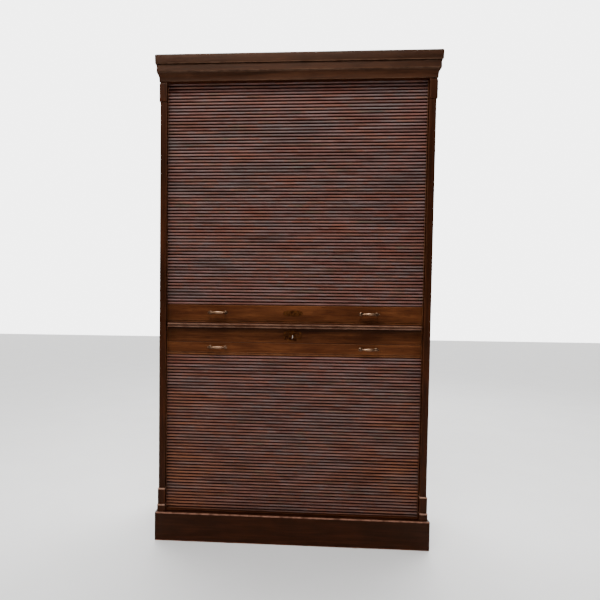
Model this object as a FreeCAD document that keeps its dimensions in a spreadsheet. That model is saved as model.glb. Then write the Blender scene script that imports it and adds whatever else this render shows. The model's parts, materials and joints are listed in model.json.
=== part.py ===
import FreeCAD, Part
import math
import os
import Sketcher

# A tall cabinet with two roller shutters: an upper one that slides up and a lower one that
# slides down, each with a lead rail, brass pulls, a lock and a canvas-backed curtain of slats.
# Frame: X to the right, Y to the back, Z up; the origin is on the floor, midway in width and depth.

doc = FreeCAD.newDocument("shutter_cabinet")
sizes = doc.addObject("Spreadsheet::Sheet", "sizes")
places = doc.addObject("Spreadsheet::Sheet", "places")
nodes = []


class Size:
    """A number together with the spreadsheet formula that gives it."""

    def __init__(self, text, value):
        self.text = text
        self.value = value

    def __add__(self, other):
        return Size(f"({self.text} + {text_of(other)})", self.value + value_of(other))

    def __sub__(self, other):
        return Size(f"({self.text} - {text_of(other)})", self.value - value_of(other))

    def __mul__(self, other):
        return Size(f"{self.text} * {text_of(other)}", self.value * value_of(other))

    def __truediv__(self, other):
        return Size(f"{self.text} / {text_of(other)}", self.value / value_of(other))

    def __neg__(self):
        return Size(f"(0 - {self.text})", -self.value)


def whole(size):
    """The whole number of times that a size divides out."""
    return Size(f"floor({size.text})", math.floor(size.value))


def text_of(size):
    return size.text if isinstance(size, Size) else repr(float(size))


def value_of(size):
    return size.value if isinstance(size, Size) else float(size)


def driving(alias, value):
    """A size that can be set by itself: one cell of the sheet named sizes."""
    driving.row += 1
    sizes.set(f"A{driving.row}", alias)
    sizes.set(f"B{driving.row}", str(value))
    sizes.setAlias(f"B{driving.row}", alias)
    return Size(f"sizes.{alias}", float(value))


def place(alias, size):
    """A face or level worked out from the driving sizes: one cell of the sheet named places."""
    place.row += 1
    places.set(f"A{place.row}", alias)
    places.set(f"B{place.row}", "=" + size.text)
    places.setAlias(f"B{place.row}", alias)
    return Size(f"places.{alias}", size.value)


driving.row = 0
place.row = 0


def bind(thing, prop, size):
    if isinstance(size, Size):
        thing.setExpression(prop, size.text)
    else:
        thing.setExpression(prop, text_of(size))


def node(label, thing):
    """Name a finished sub-part; its file takes this name."""
    thing.Label = label
    nodes.append(thing)
    return thing


def board(name, x, y, z):
    """A square-edged board between two faces along each of X, Y and Z."""
    thing = doc.addObject("Part::Box", name)
    for prop, axis, (low, high) in (("Length", "x", x), ("Width", "y", y), ("Height", "z", z)):
        span = high - low if isinstance(high, Size) else -(low - high)
        bind(thing, prop, span)
        bind(thing, f"Placement.Base.{axis}", low)
    return thing


def rod(name, axis, radius, x, y, z, length):
    """A round bar along Y or X that starts at the point x, y, z."""
    thing = doc.addObject("Part::Cylinder", name)
    turn = {"x": FreeCAD.Rotation(FreeCAD.Vector(0, 1, 0), 90),
            "y": FreeCAD.Rotation(FreeCAD.Vector(1, 0, 0), -90)}[axis]
    thing.Placement.Rotation = turn
    bind(thing, "Radius", radius)
    bind(thing, "Height", length)
    for letter, size in (("x", x), ("y", y), ("z", z)):
        bind(thing, f"Placement.Base.{letter}", size)
    return thing


def group(name, things):
    thing = doc.addObject("Part::Compound", name)
    thing.Links = things
    return thing


def fuse(name, things):
    thing = doc.addObject("Part::MultiFuse", name)
    thing.Shapes = things
    thing.Refine = True
    return thing


def cut(name, base, tools):
    thing = doc.addObject("Part::Cut", name)
    thing.Base = base
    thing.Tool = group(f"{name}_tools", tools)
    return thing


def mirrored(name, source):
    """The same piece on the other side of the cabinet."""
    thing = doc.addObject("Part::Mirroring", name)
    thing.Source = source
    thing.Normal = FreeCAD.Vector(1, 0, 0)
    return thing


def new_body(name):
    return doc.addObject("PartDesign::Body", name)


def outline(body, role, name, corners, offset=None):
    """A closed sketch through corners (across, up) or (across, up, radius of a square corner)."""
    sketch = body.newObject("Sketcher::SketchObject", name)
    plane = [item for item in body.Origin.OriginFeatures if item.Role == role][0]
    sketch.AttachmentSupport = [(plane, "")]
    sketch.MapMode = "FlatFace"
    if offset is not None:
        sketch.setExpression("AttachmentOffset.Base.z", offset.text)
    ends = []
    for index, corner in enumerate(corners):
        across, up = corner[:2]
        if len(corner) == 2:
            ends.append((across, up, None))
            continue
        radius = corner[2]
        for near in (corners[index - 1], corners[(index + 1) % len(corners)]):
            side = value_of(near[0]) - value_of(across)
            rise = value_of(near[1]) - value_of(up)
            moved_across = across + radius * (1 if side > 0 else -1) if abs(side) > 1e-6 else across
            moved_up = up + radius * (1 if rise > 0 else -1) if abs(rise) > 1e-6 else up
            ends.append((moved_across, moved_up, radius if len(ends) == 0 or not ends[-1][2] else False))
    count = len(ends)
    points = [FreeCAD.Vector(value_of(a), value_of(u), 0) for a, u, _ in ends]
    first_end = []
    for index, (across, up, radius) in enumerate(ends):
        start, end = points[index], points[(index + 1) % count]
        clockwise = False
        if radius:
            arc, clockwise = corner_arc(start, end, points[index - 1], value_of(radius))
            sketch.addGeometry(arc)
        else:
            sketch.addGeometry(Part.LineSegment(start, end))
        first_end.append(2 if clockwise else 1)
    for index in range(count):
        follower = (index + 1) % count
        sketch.addConstraint(Sketcher.Constraint("Coincident", index, 3 - first_end[index],
                                                 follower, first_end[follower]))
    for index, (across, up, radius) in enumerate(ends):
        for kind, size, axis in (("DistanceX", across, -2), ("DistanceY", up, -1)):
            if abs(value_of(size)) < 1e-9:
                sketch.addConstraint(
                    Sketcher.Constraint("PointOnObject", index, first_end[index], axis))
            else:
                row = sketch.addConstraint(
                    Sketcher.Constraint(kind, -1, 1, index, first_end[index], value_of(size)))
                sketch.setExpression(f"Constraints[{row}]", text_of(size))
        if radius:
            row = sketch.addConstraint(Sketcher.Constraint("Radius", index, value_of(radius)))
            sketch.setExpression(f"Constraints[{row}]", text_of(radius))
    return sketch


def corner_arc(start, end, before, radius):
    """The quarter round from start to end that leaves along the line from before to start.

    A sketch keeps arcs anticlockwise, so a clockwise one is made from its end to its start.
    """
    along = (start - before).normalize()
    centre = end - along * radius
    clockwise = (start - centre).cross(end - centre).z < 0
    first, last = (end, start) if clockwise else (start, end)
    circle = Part.Circle(centre, FreeCAD.Vector(0, 0, 1), radius)
    angles = [math.atan2(point.y - centre.y, point.x - centre.x) for point in (first, last)]
    if angles[1] < angles[0]:
        angles[1] += 2 * math.pi
    return Part.ArcOfCircle(circle, angles[0], angles[1]), clockwise


def pad(body, sketch, length, both_ways=False, reverse=False):
    feature = body.newObject("PartDesign::Pad", f"{sketch.Name}_pad")
    feature.Profile = sketch
    feature.SideType = "Symmetric" if both_ways else "One side"
    feature.Reversed = reverse
    bind(feature, "Length", length)
    return feature


def pocket(body, sketch, length, both_ways=True, reverse=False):
    feature = body.newObject("PartDesign::Pocket", f"{sketch.Name}_pocket")
    feature.Profile = sketch
    feature.SideType = "Symmetric" if both_ways else "One side"
    feature.Reversed = reverse
    bind(feature, "Length", length)
    return feature


# ---- driving sizes ----------------------------------------------------------------------------

opening_wide = driving("opening_wide", 1088)          # clear width between the two pilasters
pilaster_wide = driving("pilaster_wide", 29.5)
pilaster_deep = driving("pilaster_deep", 20)
carcass_deep = driving("carcass_deep", 410)           # pilaster face to the back of the back frame
side_thick = driving("side_thick", 18)
back_thick = driving("back_thick", 20)
recess = driving("recess", 25.5)                      # pilaster face back to the curtain's face

plinth_tall = driving("plinth_tall", 125)
plinth_over = driving("plinth_over", 12.6)
plinth_round = driving("plinth_round", 5)
bottom_rail_tall = driving("bottom_rail_tall", 8.6)
bottom_rail_thick = driving("bottom_rail_thick", 14)
lower_open_tall = driving("lower_open_tall", 733)
lock_rail_tall = driving("lock_rail_tall", 64.7)
nosing_tall = driving("nosing_tall", 19)
nosing_wide = driving("nosing_wide", 1070)
nosing_over = driving("nosing_over", 15)
nosing_round = driving("nosing_round", 8)
upper_open_tall = driving("upper_open_tall", 1015.7)
cove_tall = driving("cove_tall", 35)
cove_foot = driving("cove_foot", 4)
cove_lip = driving("cove_lip", 9)
fascia_tall = driving("fascia_tall", 32)
fascia_over = driving("fascia_over", 13.2)
crown_tall = driving("crown_tall", 42)
crown_over = driving("crown_over", 19.5)
crown_round = driving("crown_round", 8)
top_thick = driving("top_thick", 22)

foot_tall = driving("foot_tall", 31.6)
foot_over = driving("foot_over", 5)
base_tall = driving("base_tall", 69.9)
base_over = driving("base_over", 3)
cap_tall = driving("cap_tall", 75.5)
cap_over = driving("cap_over", 3.5)
neck_tall = driving("neck_tall", 7)
neck_over = driving("neck_over", 1.5)

slat_pitch = driving("slat_pitch", 13.5)
slat_gap = driving("slat_gap", 0.4)
slat_thick = driving("slat_thick", 10)
slat_edge = driving("slat_edge", 6.5)                 # thickness of a slat at its long edges
canvas_thick = driving("canvas_thick", 0.8)
canvas_inset = driving("canvas_inset", 6)
rail_thick = driving("rail_thick", 18)
upper_rail_tall = driving("upper_rail_tall", 77)
lower_rail_tall = driving("lower_rail_tall", 55.3)
running_gap = driving("running_gap", 0.3)
seat_gap = driving("seat_gap", 0.2)
tongue = driving("tongue", 8)                         # how far rails and slats reach into the grooves
groove_deep = driving("groove_deep", 8.5)
groove_clear = driving("groove_clear", 0.7)           # each side of a slat in its groove
groove_wall = driving("groove_wall", 5)
bend_radius = driving("bend_radius", 55)
rear_run_tall = driving("rear_run_tall", 560)
bottom_board_low = driving("bottom_board_low", 8)
bottom_board_thick = driving("bottom_board_thick", 12)

board_thick = driving("board_thick", 18)
ceiling_thick = driving("ceiling_thick", 12)
head_room = driving("head_room", 31)                  # top board down to the inner ceiling
false_back_thick = driving("false_back_thick", 6)
rear_run_room = driving("rear_run_room", 18)
lock_room = driving("lock_room", 14)                  # shelves keep this far behind the rails
shelf_play = driving("shelf_play", 1)
bearer_wide = driving("bearer_wide", 14)
bearer_tall = driving("bearer_tall", 20)
bearer_inset = driving("bearer_inset", 10)
stile_wide = driving("stile_wide", 90)
frame_rail_tall = driving("frame_rail_tall", 110)
panel_thick = driving("panel_thick", 8)
panel_recess = driving("panel_recess", 6)

handle_spread = driving("handle_spread", 322.5)       # middle of the cabinet to the middle of a pull
handle_long = driving("handle_long", 85)
handle_feet = driving("handle_feet", 33)
handle_out = driving("handle_out", 20)
handle_end = driving("handle_end", 3.6)
handle_belly = driving("handle_belly", 6.2)
post_radius = driving("post_radius", 3.6)
rosette_radius = driving("rosette_radius", 8)
rosette_thick = driving("rosette_thick", 2.5)
upper_handle_up = driving("upper_handle_up", 44.4)    # lead rail's lower edge to the pull
lower_handle_up = driving("lower_handle_up", 34)
screw_radius = driving("screw_radius", 2)
screw_clear = driving("screw_clear", 0.05)
screw_reach = driving("screw_reach", 8)
screw_head_radius = driving("screw_head_radius", 4.2)
screw_head_thick = driving("screw_head_thick", 2)

upper_keyhole_up = driving("upper_keyhole_up", 44.4)
lower_keyhole_up = driving("lower_keyhole_up", 28.4)  # lock rail's lower edge to the keyhole
keyhole_radius = driving("keyhole_radius", 3)
escutcheon_thick = driving("escutcheon_thick", 1.5)
upper_plate_wide = driving("upper_plate_wide", 87)
upper_plate_tall = driving("upper_plate_tall", 25)
lower_plate_wide = driving("lower_plate_wide", 83)
lower_plate_tall = driving("lower_plate_tall", 48)
plate_lift = driving("plate_lift", 4)                 # lower plate's middle above its keyhole
case_wide = driving("case_wide", 52)
case_thick = driving("case_thick", 12)
case_wall = driving("case_wall", 2)
case_lift = driving("case_lift", 1.6)
upper_case_tall = driving("upper_case_tall", 60)
lower_case_tall = driving("lower_case_tall", 44)
bolt_wide = driving("bolt_wide", 16)
bolt_thick = driving("bolt_thick", 4.2)
bolt_back = driving("bolt_back", 5.5)                 # back of the rail to the bolt's face
bolt_clear = driving("bolt_clear", 0.3)
bolt_long = driving("bolt_long", 30)
bolt_throw = driving("bolt_throw", 8)
strike_thick = driving("strike_thick", 1.5)
strike_margin = driving("strike_margin", 6)
keeper_tall = driving("keeper_tall", 20)
key_radius = driving("key_radius", 2.2)
key_bow_radius = driving("key_bow_radius", 8.6)
key_bow_thick = driving("key_bow_thick", 3)
key_bow_hole = driving("key_bow_hole", 3.6)
key_stand_out = driving("key_stand_out", 14)
key_bit_long = driving("key_bit_long", 7)
key_bit_wide = driving("key_bit_wide", 2)
key_bit_deep = driving("key_bit_deep", 3)
key_tilt = driving("key_tilt", 20)
slat_flat = driving("slat_flat", 5.94)
mortise_spare = driving("mortise_spare", 3)
keeper_spare = driving("keeper_spare", 4)
keeper_drop = driving("keeper_drop", 1)
strike_set_back = driving("strike_set_back", 1)
plate_end_flat = driving("plate_end_flat", 2)

# ---- faces and levels -------------------------------------------------------------------------

half_open = place("half_open", opening_wide / 2)
half_out = place("half_out", half_open + pilaster_wide)
side_in = place("side_in", half_out - side_thick)
front = place("front", (crown_over - carcass_deep) / 2)
rear = place("rear", front + carcass_deep)
pilaster_back = place("pilaster_back", front + pilaster_deep)
back_front = place("back_front", rear - back_thick)
curtain_front = place("curtain_front", front + recess)
curtain_back = place("curtain_back", curtain_front + slat_thick)
curtain_mid = place("curtain_mid", curtain_front + slat_thick / 2)
rail_back = place("rail_back", curtain_front + rail_thick)
inner_front = place("inner_front", rail_back + lock_room)
groove_half = place("groove_half", slat_thick / 2 + groove_clear)
rear_run_mid = place("rear_run_mid", back_front - groove_wall - groove_half)
false_rear = place("false_rear", rear_run_mid - rear_run_room)
false_front = place("false_front", false_rear - false_back_thick)

low_edge = place("low_edge", plinth_tall + bottom_rail_tall)
lock_rail_low = place("lock_rail_low", low_edge + lower_open_tall)
nosing_low = place("nosing_low", lock_rail_low + lock_rail_tall)
mid_top = place("mid_top", nosing_low + nosing_tall)
cornice_low = place("cornice_low", mid_top + upper_open_tall)
cove_top = place("cove_top", cornice_low + cove_tall)
fascia_top = place("fascia_top", cove_top + fascia_tall)
summit = place("summit", fascia_top + crown_tall)
# A cut this long passes right through any piece.
right_through = place("right_through", summit * 3)
top_under = place("top_under", summit - top_thick)
ceiling_top = place("ceiling_top", top_under - head_room)
ceiling_low = place("ceiling_low", ceiling_top - ceiling_thick)
bottom_board_top = place("bottom_board_top", bottom_board_low + bottom_board_thick)
floor_low = place("floor_low", low_edge - board_thick)

upper_rail_low = place("upper_rail_low", mid_top + running_gap)
upper_rail_top = place("upper_rail_top", upper_rail_low + upper_rail_tall)
lower_rail_top = place("lower_rail_top", lock_rail_low - running_gap)
lower_rail_low = place("lower_rail_low", lower_rail_top - lower_rail_tall)
upper_turn = place("upper_turn", top_under - groove_wall - groove_half)
lower_turn = place("lower_turn", bottom_board_top + groove_wall + groove_half)
upper_slats_low = place("upper_slats_low", upper_rail_top + seat_gap)
lower_slats_top = place("lower_slats_top", lower_rail_low - seat_gap)
# Each closed curtain fills the straight front of its track, up or down to the bend.
upper_slat_count = place("upper_slat_count",
                         whole((upper_turn - bend_radius - upper_slats_low) / slat_pitch))
lower_slat_count = place("lower_slat_count",
                         whole((lower_slats_top - lower_turn - bend_radius) / slat_pitch))
upper_slats_top = place("upper_slats_top", upper_slats_low + slat_pitch * upper_slat_count)
lower_slats_low = place("lower_slats_low", lower_slats_top - slat_pitch * lower_slat_count)
upper_keyhole = place("upper_keyhole", upper_rail_low + upper_keyhole_up)
lower_keyhole = place("lower_keyhole", lock_rail_low + lower_keyhole_up)

# ---- plinth: four boards under the carcass ------------------------------------------------------

plinth_face = place("plinth_face", front - plinth_over)
plinth_side = place("plinth_side", half_out + plinth_over)

body = new_body("plinth_front_body")
sketch = outline(body, "YZ_Plane", "plinth_front_section", [
    (pilaster_back, 0), (pilaster_back, plinth_tall),
    (plinth_face, plinth_tall, plinth_round), (plinth_face, 0)])
pad(body, sketch, plinth_side * 2, both_ways=True)
node("plinth_front", body)

body = new_body("plinth_left_body")
sketch = outline(body, "XZ_Plane", "plinth_left_section", [
    (-plinth_side, 0), (-plinth_side, plinth_tall, plinth_round),
    (-side_in, plinth_tall), (-side_in, 0)], offset=-rear)
pad(body, sketch, rear - pilaster_back)
node("plinth_left", body)
node("plinth_right", mirrored("plinth_right_mirror", body))
node("plinth_back", board("plinth_back_board", (-side_in, side_in), (back_front, rear),
                          (Size("0", 0), plinth_tall)))
node("bottom_board", board("bottom_dust_board", (-side_in, side_in), (pilaster_back, back_front),
                           (bottom_board_low, bottom_board_top)))
node("bottom_rail", board("bottom_rail_board", (-half_open, half_open),
                          (pilaster_back - bottom_rail_thick, pilaster_back),
                          (plinth_tall, low_edge)))


# ---- carcass sides and back: stiles, rails and panels --------------------------------------------

def frame_levels():
    """Lower and upper level of the three cross rails of a frame, from the bottom up."""
    middle = (nosing_low + mid_top) / 2
    return [(plinth_tall, plinth_tall + frame_rail_tall),
            (middle - frame_rail_tall / 2, middle + frame_rail_tall / 2),
            (top_under - frame_rail_tall, top_under)]


levels = frame_levels()
stile_back = place("stile_back", pilaster_back + stile_wide)
stile_front = place("stile_front", rear - stile_wide)
members = [board("side_stile_front", (-half_out, -side_in), (pilaster_back, stile_back),
                 (plinth_tall, top_under)),
           board("side_stile_rear", (-half_out, -side_in), (stile_front, rear),
                 (plinth_tall, top_under))]
for number, (low, high) in enumerate(levels):
    members.append(board(f"side_rail_{number}", (-half_out, -side_in), (stile_back, stile_front),
                         (low, high)))
side_frame = node("side_frame_left", group("side_frame_left_group", members))
node("side_frame_right", mirrored("side_frame_right_mirror", side_frame))

panels = [board(f"side_panel_{number}",
                (-(half_out - panel_recess), -(half_out - panel_recess - panel_thick)),
                (stile_back, stile_front), (levels[number][1], levels[number + 1][0]))
          for number in range(2)]
side_panels = node("side_panels_left", group("side_panels_left_group", panels))
node("side_panels_right", mirrored("side_panels_right_mirror", side_panels))

half_stile = stile_wide / 2
members = [board("back_stile_left", (-side_in, -(side_in - stile_wide)), (back_front, rear),
                 (plinth_tall, top_under)),
           board("back_stile_right", (side_in - stile_wide, side_in), (back_front, rear),
                 (plinth_tall, top_under)),
           board("back_stile_middle", (-half_stile, half_stile), (back_front, rear),
                 (plinth_tall, top_under))]
bays = [(-(side_in - stile_wide), -half_stile), (half_stile, side_in - stile_wide)]
panels = []
for column, (left, right) in enumerate(bays):
    for number, (low, high) in enumerate(levels):
        members.append(board(f"back_rail_{column}_{number}", (left, right), (back_front, rear),
                             (low, high)))
    for number in range(2):
        panels.append(board(f"back_panel_{column}_{number}", (left, right),
                            (rear - panel_recess - panel_thick, rear - panel_recess),
                            (levels[number][1], levels[number + 1][0])))
node("back_frame", group("back_frame_group", members))
node("back_panels", group("back_panels_group", panels))

# ---- pilasters with their base and cap blocks ----------------------------------------------------

foot_top = place("foot_top", plinth_tall + foot_tall)
base_top = place("base_top", foot_top + base_tall)
neck_low = place("neck_low", cornice_low - neck_tall)
cap_low = place("cap_low", neck_low - cap_tall)


def column_piece(name, over, low, high):
    return board(name, (-(half_out + over), -half_open), (front - over, pilaster_back), (low, high))


pilaster = node("pilaster_left", column_piece("pilaster_shaft", 0, base_top, cap_low))
node("pilaster_right", mirrored("pilaster_right_mirror", pilaster))
base_blocks = node("base_blocks_left", group("base_blocks_left_group", [
    column_piece("foot_block", foot_over, plinth_tall, foot_top),
    column_piece("base_block", base_over, foot_top, base_top)]))
node("base_blocks_right", mirrored("base_blocks_right_mirror", base_blocks))
cap_blocks = node("cap_blocks_left", group("cap_blocks_left_group", [
    column_piece("cap_block", cap_over, cap_low, neck_low),
    column_piece("neck_block", neck_over, neck_low, cornice_low)]))
node("cap_blocks_right", mirrored("cap_blocks_right_mirror", cap_blocks))

# ---- head: header rail, top board and mitred cornice ---------------------------------------------

node("header_rail", board("header_rail_board", (-half_out, half_out), (front, pilaster_back),
                          (cornice_low, top_under)))
node("top_board", board("top_board_board", (-half_out, half_out), (front, rear),
                        (top_under, summit)))

crown_side = place("crown_side", half_out + crown_over)
crown_face = place("crown_face", front - crown_over)


def cornice_section(face, sign):
    """Outline from the carcass face outwards: cove, fascia and rounded crown."""
    return [(face, cornice_low), (face + cove_foot * sign, cornice_low),
            (face + cove_foot * sign, cornice_low + cove_lip),
            (face + fascia_over * sign, cove_top), (face + fascia_over * sign, fascia_top),
            (face + crown_over * sign, fascia_top), (face + crown_over * sign, summit, crown_round),
            (face, summit)]


def mitre(body, name, corners):
    sketch = outline(body, "XY_Plane", name, corners)
    pocket(body, sketch, right_through)


body = new_body("cornice_front_body")
sketch = outline(body, "YZ_Plane", "cornice_front_section", cornice_section(front, -1))
pad(body, sketch, crown_side * 2, both_ways=True)
for name, sign in (("front_mitre_left", -1), ("front_mitre_right", 1)):
    mitre(body, name, [(half_out * sign, front), (crown_side * sign, crown_face),
                       (crown_side * sign, front)])
node("cornice_front", body)

body = new_body("cornice_left_body")
sketch = outline(body, "XZ_Plane", "cornice_left_section", cornice_section(-half_out, -1),
                 offset=-rear)
pad(body, sketch, rear - crown_face)
mitre(body, "side_mitre", [(-half_out, front), (-crown_side, crown_face), (-half_out, crown_face)])
cornice_left = node("cornice_left", body)
node("cornice_right", mirrored("cornice_right_mirror", cornice_left))

# ---- middle: shelf, nosing and the fixed lock rail -----------------------------------------------

bolt_front = place("bolt_front", rail_back + bolt_back)
bolt_rear = place("bolt_rear", bolt_front + bolt_thick)


def bolt_hole(name, low, high):
    """Room for a bolt with its clearance all round."""
    half = bolt_wide / 2 + bolt_clear
    return board(name, (-half, half), (bolt_front - bolt_clear, bolt_rear + bolt_clear), (low, high))


strike_low = place("strike_low", mid_top - strike_thick)
strike_half = place("strike_half", bolt_wide / 2 + strike_margin)
strike_front = place("strike_front", rail_back + strike_set_back)
strike_rear = place("strike_rear", bolt_rear + strike_margin)
shelf_blank = board("mid_shelf_board", (-side_in, side_in), (rail_back, back_front),
                    (nosing_low, mid_top))
strike_seat = board("strike_seat", (-strike_half, strike_half), (strike_front, strike_rear),
                    (strike_low, mid_top))
node("mid_shelf", cut("mid_shelf_cut", shelf_blank, [
    strike_seat, bolt_hole("shelf_mortise", mid_top - bolt_throw - mortise_spare, strike_low)]))
strike_blank = board("strike_blank", (-strike_half, strike_half), (strike_front, strike_rear),
                     (strike_low, mid_top))
node("upper_strike_plate", cut("upper_strike_cut", strike_blank, [
    bolt_hole("strike_slot", strike_low, mid_top)]))

body = new_body("mid_nosing_body")
nosing_face = place("nosing_face", front - nosing_over)
sketch = outline(body, "YZ_Plane", "nosing_section", [
    (rail_back, nosing_low), (rail_back, mid_top), (nosing_face, mid_top, nosing_round),
    (nosing_face, nosing_low, nosing_round)])
pad(body, sketch, nosing_wide, both_ways=True)
node("mid_nosing", body)

rail_blank = board("lock_rail_board", (-half_open, half_open), (curtain_front, rail_back),
                   (lock_rail_low, nosing_low))
node("lock_rail", cut("lock_rail_cut", rail_blank, [
    rod("lock_rail_keyhole", "y", keyhole_radius, Size("0", 0), curtain_front, lower_keyhole,
        rail_thick)]))


# ---- grooved track boards ------------------------------------------------------------------------

def track(name, low, high, turn, toward):
    """A left-hand track board: the groove runs up the front, round two bends and down the rear.

    turn is the level of the cross run, and toward is 1 where it is at the top and -1 at the bottom.
    """
    body = new_body(f"{name}_body")
    sketch = outline(body, "YZ_Plane", f"{name}_plate", [
        (pilaster_back, low), (back_front, low), (back_front, high), (pilaster_back, high)],
        offset=-side_in)
    pad(body, sketch, side_in - half_open)
    mouth = low if toward > 0 else high
    rear_end = turn - rear_run_tall * toward
    outer = bend_radius + groove_half
    inner = bend_radius - groove_half
    groove = outline(body, "YZ_Plane", f"{name}_groove", [
        (curtain_mid - groove_half, mouth), (curtain_mid - groove_half, turn + groove_half * toward, outer),
        (rear_run_mid + groove_half, turn + groove_half * toward, outer),
        (rear_run_mid + groove_half, rear_end), (rear_run_mid - groove_half, rear_end),
        (rear_run_mid - groove_half, turn - groove_half * toward, inner),
        (curtain_mid + groove_half, turn - groove_half * toward, inner),
        (curtain_mid + groove_half, mouth)], offset=-half_open)
    pocket(body, groove, groove_deep, both_ways=False)
    return body


upper_track = node("upper_track_left", track("upper_track", mid_top, top_under, upper_turn, 1))
node("upper_track_right", mirrored("upper_track_right_mirror", upper_track))
lower_track = node("lower_track_left", track("lower_track", bottom_board_top, nosing_low, lower_turn, -1))
node("lower_track_right", mirrored("lower_track_right_mirror", lower_track))

# ---- inside: ceiling, floor, false backs, shelves and their bearers ------------------------------

between = (-half_open, half_open)
node("inner_ceiling", board("inner_ceiling_board", between, (inner_front, false_rear),
                            (ceiling_low, ceiling_top)))
node("inner_floor", board("inner_floor_board", between, (inner_front, false_rear),
                          (floor_low, low_edge)))
node("upper_false_back", board("upper_false_back_board", between, (false_front, false_rear),
                               (mid_top, ceiling_low)))
node("lower_false_back", board("lower_false_back_board", between, (false_front, false_rear),
                               (low_edge, nosing_low)))


def shelves(prefix, count, low, high):
    """Evenly spaced shelves, and a bearer under each end of each."""
    boards, bearers = [], []
    for number in range(1, count + 1):
        under = low + (high - low) * number / (count + 1) - board_thick / 2
        boards.append(board(f"{prefix}_shelf_{number}",
                            (-(half_open - shelf_play), half_open - shelf_play),
                            (inner_front, false_front - shelf_play),
                            (under, under + board_thick)))
        for side in (-1, 1):
            edges = [half_open * side, (half_open - bearer_wide) * side]
            edges.sort(key=value_of)
            bearers.append(board(f"{prefix}_bearer_{number}_{side + 1}", edges,
                                 (inner_front + bearer_inset, false_front - bearer_inset),
                                 (under - bearer_tall, under)))
    return boards, bearers


upper_shelf_count = 3
lower_shelf_count = 2
upper_boards, upper_bearers = shelves("upper", upper_shelf_count, mid_top, ceiling_low)
lower_boards, lower_bearers = shelves("lower", lower_shelf_count, low_edge, nosing_low)
node("upper_shelves", group("upper_shelves_group", upper_boards))
node("lower_shelves", group("lower_shelves_group", lower_boards))
node("upper_shelf_bearers", group("upper_bearers_group", upper_bearers))
node("lower_shelf_bearers", group("lower_bearers_group", lower_bearers))


# ---- lead rails, with tongues in the grooves -----------------------------------------------------

def screw_holes(prefix, level):
    return [rod(f"{prefix}_screw_hole_{number}", "y", screw_radius + screw_clear,
                across, curtain_front, level, rail_thick)
            for number, across in enumerate(foot_places())]


def foot_places():
    """X of each pull's two feet, from left to right."""
    return [handle_spread * side + handle_feet * foot for side in (-1, 1) for foot in (-1, 1)]


def lead_rail(prefix, low, high, handle_level):
    plank = board(f"{prefix}_rail_plank", (-(half_open - running_gap), half_open - running_gap),
                  (curtain_front, rail_back), (low, high))
    ends = board(f"{prefix}_rail_tongues", (-(half_open + tongue), half_open + tongue),
                 (curtain_front, curtain_back), (low, high))
    return fuse(f"{prefix}_rail_blank", [plank, ends]), screw_holes(prefix, handle_level)


upper_handle_level = place("upper_handle_level", upper_rail_low + upper_handle_up)
lower_handle_level = place("lower_handle_level", lower_rail_low + lower_handle_up)
blank, holes = lead_rail("upper", upper_rail_low, upper_rail_top, upper_handle_level)
keyhole = rod("upper_rail_keyhole", "y", keyhole_radius, Size("0", 0), curtain_front, upper_keyhole,
              rail_thick)
node("upper_lead_rail", cut("upper_lead_rail_cut", blank, holes + [keyhole]))
blank, holes = lead_rail("lower", lower_rail_low, lower_rail_top, lower_handle_level)
node("lower_lead_rail", cut("lower_lead_rail_cut", blank, holes))


# ---- curtains: half-round slats glued to canvas --------------------------------------------------

def curtain(prefix, low, count):
    """Slats of one curtain from the lowest up, each with a flat back and a crowned face."""
    body = new_body(f"{prefix}_slats_body")
    body.AllowCompound = True
    first = low + slat_gap / 2
    last = low + slat_pitch - slat_gap / 2
    shoulder = curtain_back - slat_edge
    centre = low + slat_pitch / 2
    section = outline(body, "YZ_Plane", f"{prefix}_slat_section", [
        (curtain_back, first), (curtain_back, last), (shoulder, last),
        (curtain_front, centre + slat_flat / 2), (curtain_front, centre - slat_flat / 2),
        (shoulder, first)])
    slat = pad(body, section, (half_open + tongue) * 2, both_ways=True)
    rows = body.newObject("PartDesign::LinearPattern", f"{prefix}_slat_rows")
    rows.Originals = [slat]
    axis = [item for item in body.Origin.OriginFeatures if item.Role == "Z_Axis"][0]
    rows.Direction = (axis, [""])
    rows.Mode = "Spacing"
    bind(rows, "Offset", slat_pitch)
    bind(rows, "Occurrences", count)
    body.Tip = rows
    return body


node("upper_slats", curtain("upper", upper_slats_low, upper_slat_count))
node("lower_slats", curtain("lower", lower_slats_low, lower_slat_count))
canvas_half = place("canvas_half", half_open - canvas_inset)
for prefix, low, high in (("upper", upper_slats_low, upper_slats_top),
                          ("lower", lower_slats_low, lower_slats_top)):
    node(f"{prefix}_canvas", board(f"{prefix}_canvas_sheet", (-canvas_half, canvas_half),
                                   (curtain_back, curtain_back + canvas_thick), (low, high)))


# ---- brass pulls and their screws ----------------------------------------------------------------

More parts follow.
